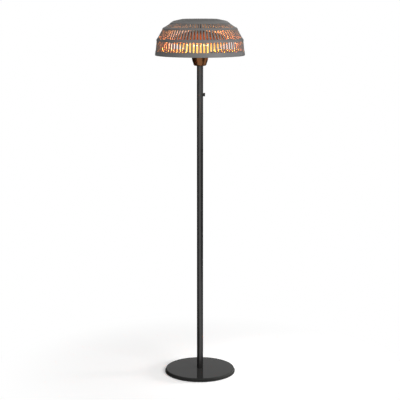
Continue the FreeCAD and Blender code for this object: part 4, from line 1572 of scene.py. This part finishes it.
@dataclass
class Studio:
    """Camera, lights, white surroundings and floor."""

    camera_place: Triple = (0.0, -6.3356, 2.1389)
    camera_pitch: float = 0.178083
    camera_lens: float = 103.527
    camera_sensor: float = 36.0
    ambient: float = 0.36
    floor_radius: float = 3.0
    floor_sides: int = 96
    floor_white: Colour = (0.97, 0.97, 0.97)
    floor_glow: float = 0.235
    floor_fade: tuple[float, float] = (0.3, 1.2)
    softboxes: tuple[Softbox, ...] = (
        Softbox("key_light", (3.0, -3.2, 3.0), size=2.2, power=130.0),
        Softbox("fill_light", (-2.6, -2.2, 1.8), size=2.0, power=14.0),
        Softbox("low_light", (1.8, 0.2, 0.25), size=0.4, power=10.5, aim=ORIGIN,
                spread=math.radians(80), mirrored=False),
    )
    cards: tuple[Card, ...] = (
        Card((-1.6, 2.25, 1.5), 3.0, 7.5),
        Card((1.6, -1.6, 1.5), 3.0, 2.2),
        Card((0.45, 0.075, 0.7), 1.2, 0.45),
        Card((1.6, 3.4, 1.5), 3.0, 5.2),
        Card((-0.885, 1.4, 0.002), 1.43, 4.4, upright=False),
        Card((0.0, 2.05, 0.002), 0.8, 3.1, upright=False),
        Card((0.925, 1.7, 0.002), 1.35, 3.8, upright=False),
        Card((0.0, 3.75, 3.5), 1.4, 4.5, upright=False),
    )
    glows: tuple[GlowRing, ...] = (
        GlowRing("lamp_glow", "glass_bowl", level_share=1.0, circle=0.162, count=36, power=1.7,
                 radius=0.01, tilt=math.radians(5), cone=math.radians(104), mirrored=False),
        GlowRing("rim_glow", "glass_bowl", level_share=1.0, circle=0.165, count=36, power=4.0,
                 radius=0.01, tilt=math.radians(-36), cone=math.radians(34),
                 colour=(1.0, 0.34, 0.02), mirrored=False),
        GlowRing("crown_glow_right", "hood", level_share=0.9, circle=0.168, count=5, power=0.66,
                 radius=0.025, tilt=math.radians(35), cone=math.radians(170),
                 colour=(1.0, 0.34, 0.1), middle=Side.RIGHT, spread=math.radians(125)),
        GlowRing("crown_glow_left", "hood", level_share=0.9, circle=0.168, count=5, power=0.66,
                 radius=0.025, tilt=math.radians(35), cone=math.radians(170),
                 colour=(1.0, 0.34, 0.1), middle=Side.LEFT, spread=math.radians(125)),
        GlowRing("crown_glow_rear", "hood", level_share=0.9, circle=0.168, count=3, power=0.18,
                 radius=0.025, tilt=math.radians(35), cone=math.radians(170),
                 colour=(1.0, 0.42, 0.14), middle=Side.REAR, spread=math.radians(80)),
        GlowRing("crown_glow_front", "hood", level_share=0.9, circle=0.168, count=3, power=0.18,
                 radius=0.025, tilt=math.radians(35), cone=math.radians(170),
                 colour=(1.0, 0.42, 0.14), middle=Side.FRONT, spread=math.radians(80)),
        GlowRing("hood_glow", "hood", level_share=1.5, circle=0.16, count=5, power=0.16,
                 radius=0.03, tilt=math.radians(235), cone=math.radians(100),
                 colour=(1.0, 0.32, 0.1), spread=math.radians(24), mirrored=False),
    )

    def build(self) -> None:
        """Sets up the whole studio."""
        scene = bpy.context.scene
        scene.view_settings.view_transform = "Standard"
        self.build_camera(scene)
        self.build_world(scene)
        self.build_floor()
        self.add_cards()
        for light in (*self.softboxes, *self.glows):
            light.add()

    def build_camera(self, scene: bpy.types.Scene) -> None:
        """Places the camera in front of the heater, looking a little down.

        Args:
            scene: scene that the camera is for.
        """
        data = bpy.data.cameras.new("camera")
        data.sensor_width = self.camera_sensor
        data.lens = self.camera_lens
        data.dof.use_dof = False
        camera = bpy.data.objects.new("camera", data)
        camera.location = self.camera_place
        camera.rotation_euler = (math.pi / 2.0 - self.camera_pitch, 0.0, 0.0)
        scene.collection.objects.link(camera)
        scene.camera = camera

    @staticmethod
    def seen_directly(bench: NodeBench) -> bpy.types.NodeSocket:
        """Tells the rays that see a surface from those that it lights.

        Args:
            bench: node bench of the material or the world.

        Returns:
            1 on rays from the camera, in mirrors and through glass, and 0 on others.
        """
        path = bench.add("ShaderNodeLightPath").outputs
        mirrored = bench.math("MAXIMUM", path["Is Glossy Ray"], path["Is Transmission Ray"])
        return bench.math("MAXIMUM", path["Is Camera Ray"], mirrored)

    def build_world(self, scene: bpy.types.Scene) -> None:
        """Surrounds the heater with white that lights it softly.

        Args:
            scene: scene that the surroundings are for.
        """
        world = bpy.data.worlds.new("white_studio")
        world.use_nodes = True
        scene.world = world
        bench = NodeBench(world.node_tree)
        background = world.node_tree.nodes["Background"]
        background.inputs["Color"].default_value = WHITE
        strength = bench.ranged(self.seen_directly(bench), self.ambient, 1.0)
        bench.join(strength, background.inputs["Strength"])

    def build_floor(self) -> None:
        """Lays a pale round floor that fades into the white surroundings."""
        start_clean()
        bpy.ops.mesh.primitive_circle_add(
            vertices=self.floor_sides, radius=self.floor_radius, fill_type="NGON"
        )
        floor = bpy.context.object
        floor.name = "floor"
        material = bpy.data.materials.new("floor")
        material.use_nodes = True
        bench = NodeBench(material.node_tree)
        paint = material.node_tree.nodes["Principled BSDF"]
        paint.inputs["Base Color"].default_value = (*self.floor_white, 1.0)
        paint.inputs["Roughness"].default_value = 1.0
        paint.inputs["Specular IOR Level"].default_value = 0.0
        paint.inputs["Emission Color"].default_value = WHITE
        paint.inputs["Emission Strength"].default_value = self.floor_glow
        white = bench.add("ShaderNodeEmission", Strength=1.0)
        place = bench.add("ShaderNodeTexCoord").outputs["Object"]
        length = bench.add("ShaderNodeVectorMath", operation="LENGTH")
        bench.join(place, length.inputs[0])
        fade = bench.add(
            "ShaderNodeMapRange",
            interpolation_type="SMOOTHSTEP",
            From_Min=self.floor_fade[0],
            From_Max=self.floor_fade[1],
        )
        bench.join(length.outputs["Value"], fade.inputs["Value"])
        mix = bench.add("ShaderNodeMixShader")
        share = bench.math("MULTIPLY", fade.outputs["Result"], self.seen_directly(bench))
        bench.join(share, mix.inputs[0])
        bench.join(paint.outputs[0], mix.inputs[1])
        bench.join(white.outputs[0], mix.inputs[2])
        bench.join(mix.outputs[0], material.node_tree.nodes["Material Output"].inputs["Surface"])
        floor.data.materials.append(material)

    def add_cards(self) -> None:
        """Sets the black cards round the heater."""
        black = bpy.data.materials.new("black_card")
        black.use_nodes = True
        paint = black.node_tree.nodes["Principled BSDF"]
        paint.inputs["Base Color"].default_value = (0.0, 0.0, 0.0, 1.0)
        paint.inputs["Specular IOR Level"].default_value = 0.0
        for card in self.cards:
            card.add(black)


def dress_inner_nodes() -> None:
    """Gives every node that keeps its own shape the finish of its slot."""
    for row in frame["record"]["subparts"]:
        node = frame["nodes"][row["node"]]
        if node.hide_render:
            continue
        node.data.materials.clear()
        node.data.materials.append(material_for(row["material_slot"]))
        LOG.info("%s keeps its shape", node.name)


def main() -> None:
    """Builds the studio and every sub-assembly of the heater."""
    logging.basicConfig(level=logging.INFO, format="%(name)s: %(message)s")
    Studio().build()
    for assembly in (Base(), Pole(), Switch(), Neck(), Head(), Lamps(), Shade()):
        assembly.build()
        LOG.info("%s is complete", type(assembly).__name__)
    dress_inner_nodes()
    start_clean()


if __name__ == "__main__":
    main()
